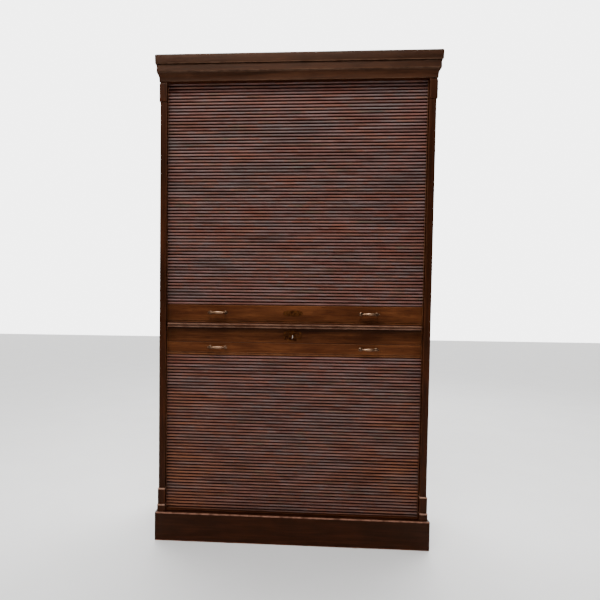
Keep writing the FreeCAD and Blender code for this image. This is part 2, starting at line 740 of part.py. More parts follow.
def handle(name, side, level):
    """A bow pull: two feet with rosettes and a bar that swells in the middle."""
    centre = handle_spread * side
    solids = []
    half = handle_long / 2
    for end in (-1, 1):
        cone = doc.addObject("Part::Cone", f"{name}_bar_{end + 1}")
        cone.Placement.Rotation = FreeCAD.Rotation(FreeCAD.Vector(0, 1, 0), 90 * end)
        bind(cone, "Radius1", handle_belly)
        bind(cone, "Radius2", handle_end)
        bind(cone, "Height", half)
        bind(cone, "Placement.Base.x", centre)
        bind(cone, "Placement.Base.y", curtain_front - handle_out)
        bind(cone, "Placement.Base.z", level)
        foot = centre + handle_feet * end
        post = rod(f"{name}_post_{end + 1}", "y", post_radius, foot, curtain_front - handle_out,
                   level, handle_out)
        rosette = rod(f"{name}_rosette_{end + 1}", "y", rosette_radius, foot,
                      curtain_front - rosette_thick, level, rosette_thick)
        solids += [cone, post, rosette]
    bores = [rod(f"{name}_bore_{end + 1}", "y", screw_radius + screw_clear,
                 centre + handle_feet * end, curtain_front - screw_reach - screw_clear, level,
                 screw_reach + screw_clear)
             for end in (-1, 1)]
    return cut(f"{name}_cut", fuse(f"{name}_solid", solids), bores)


def handle_screws(prefix, level):
    screws = []
    for number, across in enumerate(foot_places()):
        shank = rod(f"{prefix}_shank_{number}", "y", screw_radius, across,
                    curtain_front - screw_reach, level, screw_reach + rail_thick)
        head = rod(f"{prefix}_head_{number}", "y", screw_head_radius, across, rail_back, level,
                   screw_head_thick)
        screws.append(fuse(f"{prefix}_screw_{number}", [shank, head]))
    return group(f"{prefix}_screws_group", screws)


for prefix, level in (("upper", upper_handle_level), ("lower", lower_handle_level)):
    for name, side in (("left", -1), ("right", 1)):
        node(f"{prefix}_handle_{name}", handle(f"{prefix}_pull_{name}", side, level))
    node(f"{prefix}_handle_screws", handle_screws(prefix, level))


# ---- locks: escutcheon plates, cases, bolts, keeper and key --------------------------------------

def escutcheon(name, wide, tall, middle, keyhole_level):
    body = new_body(f"{name}_body")
    half = wide / 2
    low, high = middle - tall / 2, middle + tall / 2
    radius = (tall - plate_end_flat) / 2
    sketch = outline(body, "XZ_Plane", f"{name}_outline", [
        (-half, low, radius), (-half, high, radius), (half, high, radius), (half, low, radius)],
        offset=-curtain_front)
    pad(body, sketch, escutcheon_thick)
    hole = rod(f"{name}_hole", "y", keyhole_radius, Size("0", 0), curtain_front - escutcheon_thick,
               keyhole_level, escutcheon_thick)
    return cut(f"{name}_cut", body, [hole])


node("upper_escutcheon", escutcheon("upper_plate", upper_plate_wide, upper_plate_tall,
                                    upper_keyhole, upper_keyhole))
node("lower_escutcheon", escutcheon("lower_plate", lower_plate_wide, lower_plate_tall,
                                    lower_keyhole + plate_lift, lower_keyhole))


def lock(prefix, case_low, case_tall, keyhole_level):
    """A hollow case on the back of its rail, and the bolt that drops out of its lower edge."""
    half = case_wide / 2
    case_top = case_low + case_tall
    case = board(f"{prefix}_case_block", (-half, half), (rail_back, rail_back + case_thick),
                 (case_low, case_top))
    room = board(f"{prefix}_case_room", (-(half - case_wall), half - case_wall),
                 (rail_back + case_wall, rail_back + case_thick - case_wall),
                 (case_low + case_wall, case_top - case_wall))
    hole = rod(f"{prefix}_case_keyhole", "y", keyhole_radius, Size("0", 0), rail_back, keyhole_level,
               case_wall)
    slot = bolt_hole(f"{prefix}_case_slot", case_low, case_low + case_wall)
    node(f"{prefix}_lock_case", cut(f"{prefix}_case_cut", case, [room, hole, slot]))
    node(f"{prefix}_lock_bolt", board(f"{prefix}_bolt_bar", (-bolt_wide / 2, bolt_wide / 2),
                                      (bolt_front, bolt_rear),
                                      (case_low + bolt_clear, case_low + bolt_clear + bolt_long)))


lock("upper", upper_rail_low + case_lift, upper_case_tall, upper_keyhole)
lock("lower", lock_rail_low + case_lift, lower_case_tall, lower_keyhole)

keeper_top = place("keeper_top", lower_rail_top - keeper_drop)
keeper_low = place("keeper_low", keeper_top - keeper_tall)
keeper = board("keeper_block", (-strike_half, strike_half),
               (rail_back, bolt_rear + case_wall + bolt_clear), (keeper_low, keeper_top))
node("lower_keeper", cut("keeper_cut", keeper, [
    bolt_hole("keeper_slot", keeper_top - bolt_throw - keeper_spare, keeper_top)]))

# The key is made about its own axis, along Y, and then lifted to the keyhole and tilted.
bit_end = place("bit_end", rail_back + case_wall + key_bit_deep + bolt_clear)
bow_mid = place("bow_mid", curtain_front - key_stand_out - key_bow_radius + key_radius)
zero = Size("0", 0)
stem = rod("key_stem", "y", key_radius, zero, curtain_front - key_stand_out, zero,
           bit_end - curtain_front + key_stand_out)
bow = rod("key_bow", "x", key_bow_radius, -key_bow_thick / 2, bow_mid, zero, key_bow_thick)
eye = rod("key_eye", "x", key_bow_hole, -key_bow_thick, bow_mid, zero, key_bow_thick * 2)
bit = board("key_bit", (-key_bit_wide / 2, key_bit_wide / 2), (bit_end - key_bit_deep, bit_end),
            (-key_bit_long, zero))
key = cut("key_cut", fuse("key_blank", [stem, bow, bit]), [eye])
key.Placement.Rotation = FreeCAD.Rotation(FreeCAD.Vector(0, 1, 0), value_of(key_tilt))
bind(key, "Placement.Base.z", lower_keyhole)
node("key", key)

# ---- build, check and write ----------------------------------------------------------------------

doc.recompute()
for thing in doc.Objects:
    if "Invalid" in thing.State or "Error" in thing.State:
        raise RuntimeError(f"{thing.Label} failed: {thing.State}")
for thing in nodes:
    if thing.Shape.isNull() or not thing.Shape.isValid() or not thing.Shape.Solids:
        raise RuntimeError(f"{thing.Label} has no valid solid")
os.makedirs("parts", exist_ok=True)
for thing in nodes:
    thing.Shape.exportStep(f"parts/{thing.Label}.step")
print(len(nodes), "sub-parts written")
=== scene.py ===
import bmesh
import bpy
import json
import math
import numpy as np
from mathutils import Matrix, Vector
from mathutils.bvhtree import BVHTree


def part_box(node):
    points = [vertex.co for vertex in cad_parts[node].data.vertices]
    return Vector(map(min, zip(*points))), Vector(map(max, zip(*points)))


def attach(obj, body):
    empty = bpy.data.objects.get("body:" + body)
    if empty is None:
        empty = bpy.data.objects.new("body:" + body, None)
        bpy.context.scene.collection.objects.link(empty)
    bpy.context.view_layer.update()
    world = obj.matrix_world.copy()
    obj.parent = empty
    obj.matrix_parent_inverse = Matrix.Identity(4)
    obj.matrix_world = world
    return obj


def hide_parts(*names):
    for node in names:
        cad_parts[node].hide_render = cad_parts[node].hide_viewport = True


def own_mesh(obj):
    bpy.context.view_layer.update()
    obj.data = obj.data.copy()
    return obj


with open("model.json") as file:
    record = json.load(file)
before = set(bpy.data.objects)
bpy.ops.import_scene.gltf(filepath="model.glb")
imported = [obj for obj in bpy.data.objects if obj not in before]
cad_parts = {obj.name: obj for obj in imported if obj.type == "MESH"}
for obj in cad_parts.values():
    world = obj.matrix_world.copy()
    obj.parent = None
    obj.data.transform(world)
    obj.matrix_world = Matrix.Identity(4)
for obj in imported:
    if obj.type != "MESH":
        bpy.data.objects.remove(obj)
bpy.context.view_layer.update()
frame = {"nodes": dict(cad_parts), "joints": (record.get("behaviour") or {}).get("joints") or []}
MM = 0.001

# ---- Camera, floor and studio light ----
# The cabinet stands on a plain pale floor before a pale backdrop. A wide soft box hangs above and
# in front of it, a weaker one fills from the left, and a third lights the back.

CAMERA_PLACE = (-0.054, -2.128, 1.0116)
CAMERA_TURN = (3.21, -2.05, 0.70)  # left, up and roll, in degrees
CAMERA_LENS = 27.3
CAMERA_SHIFT = (0.0757, 0.0423)
SKY_FRONT = 0.07                   # brightness of the room
SKY_BACK = 5.0                     # and of the backdrop behind the cabinet
SKY_FROM, SKY_FULL = -0.2, 0.85    # depth of direction between which one turns to the other
FLOOR_HALF = 14.0


def show(thing):
    """Put an object in the scene."""
    bpy.context.scene.collection.objects.link(thing)


camera = bpy.data.cameras.new("camera")
camera.lens = CAMERA_LENS
camera.sensor_width = 36
camera.shift_x, camera.shift_y = CAMERA_SHIFT
viewer = bpy.data.objects.new("camera", camera)
left, up, roll = (math.radians(angle) for angle in CAMERA_TURN)
viewer.matrix_world = (Matrix.Translation(CAMERA_PLACE) @ Matrix.Rotation(left, 4, "Z")
                       @ Matrix.Rotation(math.pi / 2 + up, 4, "X") @ Matrix.Rotation(roll, 4, "Z"))
show(viewer)
bpy.context.scene.camera = viewer


def soft_box(name, place, aim, size, power, spread=180):
    """A rectangular area light at place that faces the point aim; spread in degrees."""
    lamp = bpy.data.lights.new(name, "AREA")
    lamp.shape = "RECTANGLE"
    lamp.size, lamp.size_y = size
    lamp.energy = power
    lamp.spread = math.radians(spread)
    holder = bpy.data.objects.new(name, lamp)
    holder.location = place
    holder.rotation_euler = (Vector(aim) - Vector(place)).to_track_quat("-Z", "Y").to_euler()
    show(holder)


soft_box("over_box", (-0.4, -2.5, 4.9), (0, 0, 1.1), (3.2, 1.3), 52, 70)
soft_box("left_box", (-3.4, -2.6, 2.4), (0, 0, 1.1), (1.6, 2.2), 8, 80)
soft_box("back_box", (1.8, 3.2, 3.4), (0, 0, 1.0), (3.0, 2.0), 60)


def srgb(red, green, blue):
    """A display colour, 0 to 255, as linear light with alpha 1."""
    share = np.array([red, green, blue]) / 255
    light = np.where(share < 0.04045, share / 12.92, ((share + 0.055) / 1.055) ** 2.4)
    return (*light.tolist(), 1.0)


class Recipe:
    """A material under construction, with short words for the shader nodes that it needs."""

    def __init__(self, name):
        self.material = bpy.data.materials.new(name)
        self.material.use_nodes = True
        self.tree = self.material.node_tree
        self.shader = self.tree.nodes["Principled BSDF"]

    def plug(self, socket, value):
        """Feed a socket from another socket, or with a plain value."""
        if isinstance(value, bpy.types.NodeSocket):
            self.tree.links.new(value, socket)
        else:
            socket.default_value = value

    def attribute(self, name, vector=False):
        """What the mesh carries under this name at each vertex."""
        item = self.tree.nodes.new("ShaderNodeAttribute")
        item.attribute_name = name
        return item.outputs["Vector" if vector else "Fac"]

    def noise(self, place, stretch, scale, detail=3.0, distortion=0.0):
        """Noise of the given scale, read where place is stretched along each axis."""
        moved = self.tree.nodes.new("ShaderNodeMapping")
        self.plug(moved.inputs["Vector"], place)
        moved.inputs["Scale"].default_value = stretch
        item = self.tree.nodes.new("ShaderNodeTexNoise")
        self.plug(item.inputs["Vector"], moved.outputs["Vector"])
        item.inputs["Scale"].default_value = scale
        item.inputs["Detail"].default_value = detail
        item.inputs["Distortion"].default_value = distortion
        return item.outputs["Fac"]

    def level(self, value, low, high, to_low=0.0, to_high=1.0):
        """Value mapped from low..high to to_low..to_high, and held at the ends."""
        item = self.tree.nodes.new("ShaderNodeMapRange")
        for name, amount in (("Value", value), ("From Min", low), ("From Max", high),
                             ("To Min", to_low), ("To Max", to_high)):
            self.plug(item.inputs[name], amount)
        return item.outputs["Result"]

    def maths(self, operation, first, second):
        """Two values through one operation of arithmetic."""
        item = self.tree.nodes.new("ShaderNodeMath")
        item.operation = operation
        self.plug(item.inputs[0], first)
        self.plug(item.inputs[1], second)
        return item.outputs["Value"]

    def mix(self, factor, first, second):
        """A colour on the way from the first, at factor 0, to the second, at factor 1."""
        item = self.tree.nodes.new("ShaderNodeMix")
        item.data_type = "RGBA"
        colours = [socket for socket in item.inputs if socket.type == "RGBA"]
        self.plug(item.inputs["Factor"], factor)
        self.plug(colours[0], first)
        self.plug(colours[1], second)
        return [socket for socket in item.outputs if socket.type == "RGBA"][0]

    def ramp(self, value, *stops):
        """The colour at a value between stops of (value, colour), lowest first."""
        item = self.tree.nodes.new("ShaderNodeValToRGB")
        self.plug(item.inputs["Fac"], value)
        ends = item.color_ramp.elements
        (ends[0].position, ends[0].color), (ends[1].position, ends[1].color) = stops[0], stops[-1]
        for position, colour in stops[1:-1]:
            ends.new(position).color = colour
        return item.outputs["Color"]

    def bump(self, height, strength, distance):
        """Tilt the surface as if height were relief, distance metres deep."""
        item = self.tree.nodes.new("ShaderNodeBump")
        self.plug(item.inputs["Height"], height)
        item.inputs["Strength"].default_value = strength
        item.inputs["Distance"].default_value = distance
        self.plug(self.shader.inputs["Normal"], item.outputs["Normal"])

    def finish(self, **sockets):
        """Set the shader's named sockets, with _ for a space, and give the material."""
        for name, value in sockets.items():
            self.plug(self.shader.inputs[name.replace("_", " ")], value)
        return self.material


world = bpy.data.worlds.new("sky")
world.use_nodes = True
nodes, links = world.node_tree.nodes, world.node_tree.links
direction = nodes.new("ShaderNodeSeparateXYZ")
links.new(nodes.new("ShaderNodeTexCoord").outputs["Generated"], direction.inputs["Vector"])
depth = nodes.new("ShaderNodeMapRange")
depth.interpolation_type = "SMOOTHERSTEP"
links.new(direction.outputs["Y"], depth.inputs["Value"])
for name, amount in (("From Min", SKY_FROM), ("From Max", SKY_FULL),
                     ("To Min", SKY_FRONT), ("To Max", SKY_BACK)):
    depth.inputs[name].default_value = amount
links.new(depth.outputs["Result"], nodes["Background"].inputs["Strength"])
nodes["Background"].inputs["Color"].default_value = (1, 1, 1, 1)
bpy.context.scene.world = world

paint = Recipe("floor_paint")
cloud = paint.noise(paint.tree.nodes.new("ShaderNodeTexCoord").outputs["Object"], (1, 1, 1), 3.0)
floor_paint = paint.finish(Base_Color=paint.mix(cloud, srgb(232, 231, 230), srgb(240, 240, 239)),
                           Roughness=0.9)
floor_mesh = bpy.data.meshes.new("floor")
floor_mesh.from_pydata([(x * FLOOR_HALF, y * FLOOR_HALF, 0)
                        for x, y in ((-1, -1), (1, -1), (1, 1), (-1, 1))], [], [(0, 1, 2, 3)])
floor_mesh.materials.append(floor_paint)
floor = bpy.data.objects.new("floor", floor_mesh)
show(floor)

# ---- Wood finish and eased boards ----
# Oak boards, stained a dark reddish brown and varnished by brush. Grain runs along each board,
# arrises are rubbed to a lighter tan, and quirks and inner corners are painted dark: painted shade
# and old dirt.

GRAIN = "grain"                # place in the board: along, across, deep
EDGE = "edge"                  # 1 on an arris, below 0 in a quirk
TONE = "tone"                  # one random value for each board
AXES = {"x": (0, 1, 2), "y": (1, 0, 2), "z": (2, 0, 1)}
END_GRAIN = -0.25              # value of edge on a sawn end, which is dark
BLACK = (0.004, 0.002, 0.0015, 1)
VARNISH = (1.0, 0.62, 0.4, 1)  # colour of what the old varnish reflects
ARRIS_REACH = 5 * MM           # how far from a corner its rubbing or dirt is seen
CURVE_TURN = 24                # degrees; a corner that turns by less is part of a curve
chance = np.random.default_rng(7)


def wood(name, dark, middle, light, worn, wear=0.5, rough=0.5, coat=0.03, shine=0.1):
    """Stained wood along the first axis of the grain attribute, lighter where edge is high."""
    dark, middle, light, worn = (srgb(*colour) for colour in (dark, middle, light, worn))
    mix = Recipe(name)
    place = mix.attribute(GRAIN, vector=True)
    edge, tone = mix.attribute(EDGE), mix.attribute(TONE)
    figure = mix.noise(place, (0.9, 12, 12), 5.0, 6.0, 0.8)
    stain = mix.noise(place, (1.4, 3.2, 3.2), 2.7, 3.0, 0.3)
    streak = mix.noise(place, (0.5, 30, 30), 9.0, 5.0, 0.35)
    pore = mix.noise(place, (0.03, 1, 1), 950.0, 2.0)
    speck = mix.noise(place, (1, 1, 1), 30.0, 5.0)
    fine = mix.noise(place, (0.12, 1, 1), 260.0, 3.0)
    colour = mix.ramp(figure, (0.32, dark), (0.5, middle), (0.7, light))
    colour = mix.mix(mix.level(streak, 0.4, 0.66, 0.0, 0.6), colour, dark)
    colour = mix.mix(mix.level(tone, 0, 1, 0.0, 0.28), colour, middle)
    colour = mix.mix(mix.level(stain, 0.34, 0.62, 0.55, 0.0), colour, dark)
    colour = mix.mix(mix.level(stain, 0.5, 0.72, 0.0, 0.3), colour, light)
    colour = mix.mix(mix.level(pore, 0.58, 0.68, 0.0, 0.6), colour, BLACK)
    rubbed = mix.maths("MULTIPLY", mix.level(edge, 0.2, 1.0, 0.0, wear),
                       mix.level(speck, 0.34, 0.6, 0.25, 1.0))
    colour = mix.mix(rubbed, colour, worn)
    # Below zero, edge paints black: painted shade and old dirt in hollow corners, dark sawn ends,
    # and painted shade under the nosing.
    colour = mix.mix(mix.level(edge, -1.0, -0.1, 0.85, 0.0), colour, BLACK)
    gloss = mix.maths("ADD", mix.level(stain, 0.3, 0.7, rough - 0.08, rough + 0.1),
                      mix.level(fine, 0.3, 0.7, -0.05, 0.06))
    height = mix.maths("ADD", mix.level(pore, 0.55, 0.7, 1.0, 0.0),
                       mix.maths("MULTIPLY", streak, 0.6))
    mix.bump(height, 0.4, 0.0004)
    return mix.finish(Base_Color=colour, Roughness=gloss, Coat_Weight=coat, Coat_Roughness=0.3,
                      Specular_IOR_Level=shine, Specular_Tint=VARNISH)


case_wood = wood("case_wood", (28, 9, 2), (46, 18, 6), (62, 28, 11), (86, 52, 32), wear=0.35)
side_wood = wood("side_wood", (34, 14, 7), (66, 30, 15), (92, 46, 24), (136, 90, 62), wear=0.4)
rail_wood = wood("rail_wood", (52, 23, 9), (84, 45, 22), (106, 61, 33), (136, 88, 56), wear=0.35)
nosing_wood = wood("nosing_wood", (44, 19, 7), (70, 38, 22), (88, 52, 33), (150, 114, 96),
                   wear=0.75, rough=0.4, shine=0.2)
# The lips on the steps of the pilaster bases are pale as a painted highlight along their top edges.
lip_wood = wood("lip_wood", (84, 54, 38), (122, 88, 70), (148, 112, 94), (178, 140, 122),
                wear=0.8, rough=0.4, shine=0.2)
plinth_wood = wood("plinth_wood", (26, 9, 2), (42, 17, 6), (58, 27, 12), (158, 112, 92), wear=0.85)
cornice_wood = wood("cornice_wood", (30, 12, 4), (50, 26, 14), (66, 38, 23), (118, 90, 72),
                    wear=0.5, rough=0.45, shine=0.14)
back_wood = wood("back_wood", (40, 23, 14), (68, 43, 28), (90, 61, 40), (112, 84, 60),
                 wear=0.3, rough=0.68, coat=0.0, shine=0.15)
inner_wood = wood("inner_wood", (66, 38, 21), (108, 67, 40), (138, 93, 58), (160, 120, 84),
                  wear=0.3, rough=0.6, shine=0.25)


def grid_faces(rows, columns, wrap_columns=True):
    """Quads between neighbouring rows and columns of a grid; wrapped columns join back round."""
    row, column = np.meshgrid(np.arange(rows - 1),
                              np.arange(columns if wrap_columns else columns - 1), indexing="ij")
    right = (column + 1) % columns
    return np.stack([row * columns + column, row * columns + right,
                     (row + 1) * columns + right, (row + 1) * columns + column],
                    axis=-1).reshape(-1, 4)


def shell(points, edge=0.0, along="x"):
    """A closed tube from a grid of points: the columns wrap round and the end rows are capped."""
    rows, columns = points.shape[:2]
    faces = grid_faces(rows, columns).tolist()
    faces += [list(range(columns)), list(range((rows - 1) * columns, rows * columns))]
    vertices = points.reshape(-1, 3)
    return {"vertices": vertices, "faces": faces,
            EDGE: np.broadcast_to(edge, (rows, columns)).ravel(),
            GRAIN: vertices[:, AXES[along]] + chance.uniform(-3, 3, 3),
            TONE: np.full(len(vertices), chance.uniform(0, 1))}


def joined(shells):
    """Several shells as one."""
    start, faces = 0, []
    for item in shells:
        faces += [[start + corner for corner in face] for face in item["faces"]]
        start += len(item["vertices"])
    whole = {key: np.concatenate([item[key] for item in shells])
             for key in ("vertices", EDGE, GRAIN, TONE)}
    whole["faces"] = faces
    return whole


def eased(corners, ease):
    """Round each corner of a closed outline with a parabola, and say how near an arris points are.

    A corner that turns by less than CURVE_TURN stays. A hollow corner gets a negative value, for
    painted shade and dirt.
    """
    corners = np.array(corners, float)
    area = np.sum(corners[:, 0] * np.roll(corners[:, 1], -1)
                  - np.roll(corners[:, 0], -1) * corners[:, 1])
    points, edge = [], []
    for before, here, after in zip(np.roll(corners, 1, axis=0), corners,
                                   np.roll(corners, -1, axis=0)):
        into, out = here - before, after - here
        long_in, long_out = np.linalg.norm(into), np.linalg.norm(out)
        into, out = into / long_in, out / long_out
        cross = (into[0] * out[1] - into[1] * out[0]) * np.sign(area)
        turn = math.degrees(math.atan2(abs(cross), float(into @ out)))
        if turn < CURVE_TURN:
            points.append(here)
            edge.append(0.0)
            continue
        sign = 1.0 if cross > 0 else -1.0
        cut_in, cut_out = min(ease, 0.3 * long_in), min(ease, 0.3 * long_out)
        far_in, far_out = min(ARRIS_REACH, 0.46 * long_in), min(ARRIS_REACH, 0.46 * long_out)
        start, end = here - into * cut_in, here + out * cut_out
        points += [here - into * far_in, start, (start + 2 * here + end) / 4, end,
                   here + out * far_out]
        edge += [0.0, 0.75 * sign, sign, 0.75 * sign, 0.0]
    return np.array(points), np.array(edge)


def board(low, high, along, ease):
    """A board whose eased section is carried along one axis and drawn in at both ends."""
    low, high = np.array(low, float), np.array(high, float)
    first, second, third = AXES[along]
    ease = min(ease, 0.25 * min(high - low))
    middle, half = (low + high) / 2, (high - low) / 2
    long = high[first] - low[first]
    reach = min(ARRIS_REACH, 0.2 * long)
    stations = np.array([0, 0.3 * ease, ease, reach])
    stations = low[first] + np.concatenate([stations, long - stations[::-1]])
    draw = np.array([ease, 0.3 * ease, 0, 0, 0, 0, 0.3 * ease, ease])
    end_edge = np.array([1, 1, 0.7, 0, 0, 0.7, 1, 1])
    rows = []
    for inset in draw:
        wide, tall = half[second] - inset, half[third] - inset
        ring, ring_edge = eased([(-wide, -tall), (wide, -tall), (wide, tall), (-wide, tall)], ease)
        rows.append(ring)
    points = np.empty((len(stations), len(ring), 3))
    points[:, :, first] = stations[:, None]
    points[:, :, second] = middle[second] + np.stack(rows)[:, :, 0]
    points[:, :, third] = middle[third] + np.stack(rows)[:, :, 1]
    edge = np.maximum(ring_edge[None, :], end_edge[:, None])
    edge[[0, -1]] = END_GRAIN
    return shell(points, edge, along)


def link(thing, body, replaced):
    """Put a finished object in the scene, on its body, for the replaced nodes."""
    show(thing)
    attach(thing, body)
    if replaced:
        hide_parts(*replaced)
    return thing


def piece(name, item, body, material, replaced=(), crease=38, extra=()):
    """Make a shell into an object that rides on a body and stands for the replaced nodes."""
    mesh = bpy.data.meshes.new(name)
    mesh.from_pydata(item["vertices"].tolist(), [], item["faces"])
    for key in (EDGE, TONE, GRAIN, *extra):
        vector = np.ndim(item[key]) == 2
        layer = mesh.attributes.new(key, "FLOAT_VECTOR" if vector else "FLOAT", "POINT")
        layer.data.foreach_set("vector" if vector else "value",
                               np.ascontiguousarray(item[key], np.float32).ravel())
    work = bmesh.new()
    work.from_mesh(mesh)
    bmesh.ops.recalc_face_normals(work, faces=work.faces)
    work.to_mesh(mesh)
    work.free()
    mesh.polygons.foreach_set("use_smooth", np.ones(len(mesh.polygons), bool))
    mesh.set_sharp_from_angle(angle=math.radians(crease))
    mesh.materials.append(material)
    return link(bpy.data.objects.new(name, mesh), body, replaced)


def loose_parts(mesh):
    """The number of the separate part that each vertex of a mesh belongs to."""
    count = len(mesh.vertices)
    ends = np.empty(len(mesh.edges) * 2, int)
    mesh.edges.foreach_get("vertices", ends)
    ends = ends.reshape(-1, 2)
    part = np.arange(count)
    while True:
        least = np.minimum(part[ends[:, 0]], part[ends[:, 1]])
        spread = part.copy()
        np.minimum.at(spread, ends[:, 0], least)
        np.minimum.at(spread, ends[:, 1], least)
        if np.array_equal(spread, part):
            return np.unique(part, return_inverse=True)[1]
        part = spread


def welded(mesh):
    """The mesh with its doubled vertices joined."""
    work = bmesh.new()
    work.from_mesh(mesh)
    bmesh.ops.remove_doubles(work, verts=work.verts, dist=1e-5)
    work.to_mesh(mesh)
    work.free()
    return mesh


def merged(node):
    """A copy of a node's mesh with its loose triangles joined."""
    return welded(frame["nodes"][node].data.copy())


def spots_of(mesh):
    """The vertices of a mesh as rows of x, y, z."""
    spots = np.empty(len(mesh.vertices) * 3)
    mesh.vertices.foreach_get("co", spots)
    return spots.reshape(-1, 3)


def members(node, order="zxy"):
    """The boxes that a node of straight boards is made of, each as far as it goes along order.

    The planes of the node's faces cut space into cells. A cell is solid if some ray along an axis
    from its middle meets its first face from behind, which never happens outside. Solid cells are
    then gathered into boxes, growing along the axes in the given order.
    """
    mesh = merged(node)
    work = bmesh.new()
    work.from_mesh(mesh)
    tree = BVHTree.FromBMesh(work)
    work.free()
    spots = np.round(spots_of(mesh), 5)
    planes = [np.unique(spots[:, axis]) for axis in range(3)]

    def solid(cell):
        spot = Vector([(planes[k][cell[k]] + planes[k][cell[k] + 1]) / 2 for k in range(3)])
        rays = [Vector(sign * row) for row in np.eye(3) for sign in (-1, 1)]
        normals = [tree.ray_cast(spot, ray)[1] for ray in rays]
        return any(normal is not None and normal @ ray > 0.5
                   for normal, ray in zip(normals, rays))

    counts = [len(plane) - 1 for plane in planes]
    free = np.array([solid(cell) for cell in np.ndindex(*counts)]).reshape(counts)
    boxes = []
    while free.any():
        start = np.argwhere(free)[0]
        stop = start + 1
        for axis in ("xyz".index(letter) for letter in order):
            while stop[axis] < counts[axis]:
                grown = stop.copy()
                grown[axis] += 1
                if not free[tuple(map(slice, start, grown))].all():
                    break
                stop = grown
        free[tuple(map(slice, start, stop))] = False
        boxes.append([np.array([planes[k][corner[k]] for k in range(3)])
                      for corner in (start, stop)])
    return boxes


def boards_of(name, node, material, ease=1.2 * MM):
    """The boards of a fixed node, each eased and with its grain along its length."""
    shells = [board(low, high, "xyz"[int(np.argmax(high - low))], ease)
              for low, high in members(node)]
    return piece(name, joined(shells), "cabinet", material, [node])


def bevelled(name, node, material, body="cabinet", ease=0.6 * MM):
    """A node's own mesh with its doubled vertices joined and its edges eased."""
    mesh = merged(node)
    part, spots = loose_parts(mesh), spots_of(mesh)
    grain = np.empty_like(spots)
    tone = np.empty(len(spots))
    for number in range(part.max() + 1):
        mine = part == number
        long = int(np.argmax(np.ptp(spots[mine], axis=0)))
        grain[mine] = spots[mine][:, AXES["xyz"[long]]] + chance.uniform(-3, 3, 3)
        tone[mine] = chance.uniform(0, 1)
    for key, kind, field, values in ((GRAIN, "FLOAT_VECTOR", "vector", grain),
                                     (TONE, "FLOAT", "value", tone)):
        mesh.attributes.new(key, kind, "POINT").data.foreach_set(
            field, values.astype(np.float32).ravel())
    mesh.materials.clear()
    mesh.materials.append(material)
    thing = bpy.data.objects.new(name, mesh)
    rounding = thing.modifiers.new("ease", "BEVEL")
    rounding.width = ease
    rounding.segments = 2
    rounding.limit_method = "ANGLE"
    rounding.harden_normals = True
    mesh.polygons.foreach_set("use_smooth", np.ones(len(mesh.polygons), bool))
    return link(thing, body, [node])


# ---- Carcass: side frames, panels, back, head and base boards ----
# Framed sides with two panels each, a framed back with four, and the boards of head and base.
# Stiles and rails are tenoned together and the panels stand loose in grooves.

for side in ("left", "right"):
    boards_of(f"side_frame_{side}_boards", f"side_frame_{side}", side_wood)
    boards_of(f"side_panels_{side}_boards", f"side_panels_{side}", side_wood)
boards_of("back_frame_boards", "back_frame", back_wood)
boards_of("back_panel_boards", "back_panels", back_wood)
boards_of("plinth_back_plank", "plinth_back", back_wood)
boards_of("bottom_dust_board", "bottom_board", back_wood)
boards_of("bottom_rail_strip", "bottom_rail", case_wood)
boards_of("header_rail_plank", "header_rail", case_wood)
boards_of("top_planks", "top_board", cornice_wood, ease=2 * MM)

# ---- Mouldings: cornice, plinth, nosing, rails, pilasters and their blocks ----
# Lengths run by a plane, mitred at the corners of the cornice. The cornice has a cove, a fascia
# and a thick crown, with a narrow quirk between each and the next.

COVE_TALL, FASCIA_TALL = 35 * MM, 32 * MM
COVE_FOOT, FASCIA_OVER = 4 * MM, 13.2 * MM
QUIRK_DEEP, QUIRK_TALL = 2.2 * MM, 1.8 * MM
CROWN_ROUND, ARC_STEPS = 11 * MM, 7
PLINTH_ROUND = 4.5 * MM


def arc(centre, radius, start, end, steps=ARC_STEPS):
    """Points of an arc, its angles in degrees; radius is a number or a pair of half axes."""
    turn = np.radians(np.linspace(start, end, steps))
    return (np.array(centre) + np.stack([np.cos(turn), np.sin(turn)], axis=1)
            * np.broadcast_to(radius, 2)).tolist()


def moulding(profile, ends, place, along, ease=1.5 * MM):
    """Carry an eased outline of (out, up) along an axis; ends(out) gives where each point stops.

    place(run, out, up) turns a spot on the length into x, y and z.
    """
    outline, edge = eased(profile, ease)
    out, up = outline[:, 0], outline[:, 1]
    start, stop = (np.broadcast_to(end, out.shape) for end in ends(out))
    rows = []
    for share in (0.0, 0.004, 0.996, 1.0):
        run = start + (stop - start) * share
        rows.append(np.stack(np.broadcast_arrays(*place(run, out, up)), axis=1))
    whole = np.tile(edge, (len(rows), 1))
    whole[[0, -1]] = END_GRAIN
    return shell(np.stack(rows), whole, along)


low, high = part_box("cornice_front")
head_low, head_high = low.z, high.z
crown_over = high.y - low.y
front_face = high.y
side_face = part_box("header_rail")[1].x
rear_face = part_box("cornice_left")[1].y
cove_top = head_low + COVE_TALL
fascia_top = cove_top + FASCIA_TALL
cornice_outline = [(0, head_low), (COVE_FOOT, head_low)]
cornice_outline += arc((FASCIA_OVER + 1 * MM, head_low + 3 * MM),
                       (FASCIA_OVER + 1 * MM - COVE_FOOT, COVE_TALL - 5 * MM), 180, 96)
quirk_low, quirk_back = cove_top - 1 * MM, FASCIA_OVER - QUIRK_DEEP
cornice_outline += [(FASCIA_OVER, quirk_low), (quirk_back, quirk_low),
                    (quirk_back, quirk_low + QUIRK_TALL),
                    (FASCIA_OVER + 0.6 * MM, quirk_low + QUIRK_TALL),
                    (FASCIA_OVER, fascia_top - QUIRK_TALL), (quirk_back, fascia_top - QUIRK_TALL),
                    (quirk_back, fascia_top), (crown_over - 1 * MM, fascia_top)]
cornice_outline += arc((crown_over - CROWN_ROUND, head_high - CROWN_ROUND), CROWN_ROUND, 0, 78)
cornice_outline += [(crown_over - CROWN_ROUND - 3 * MM, head_high), (0, head_high)]

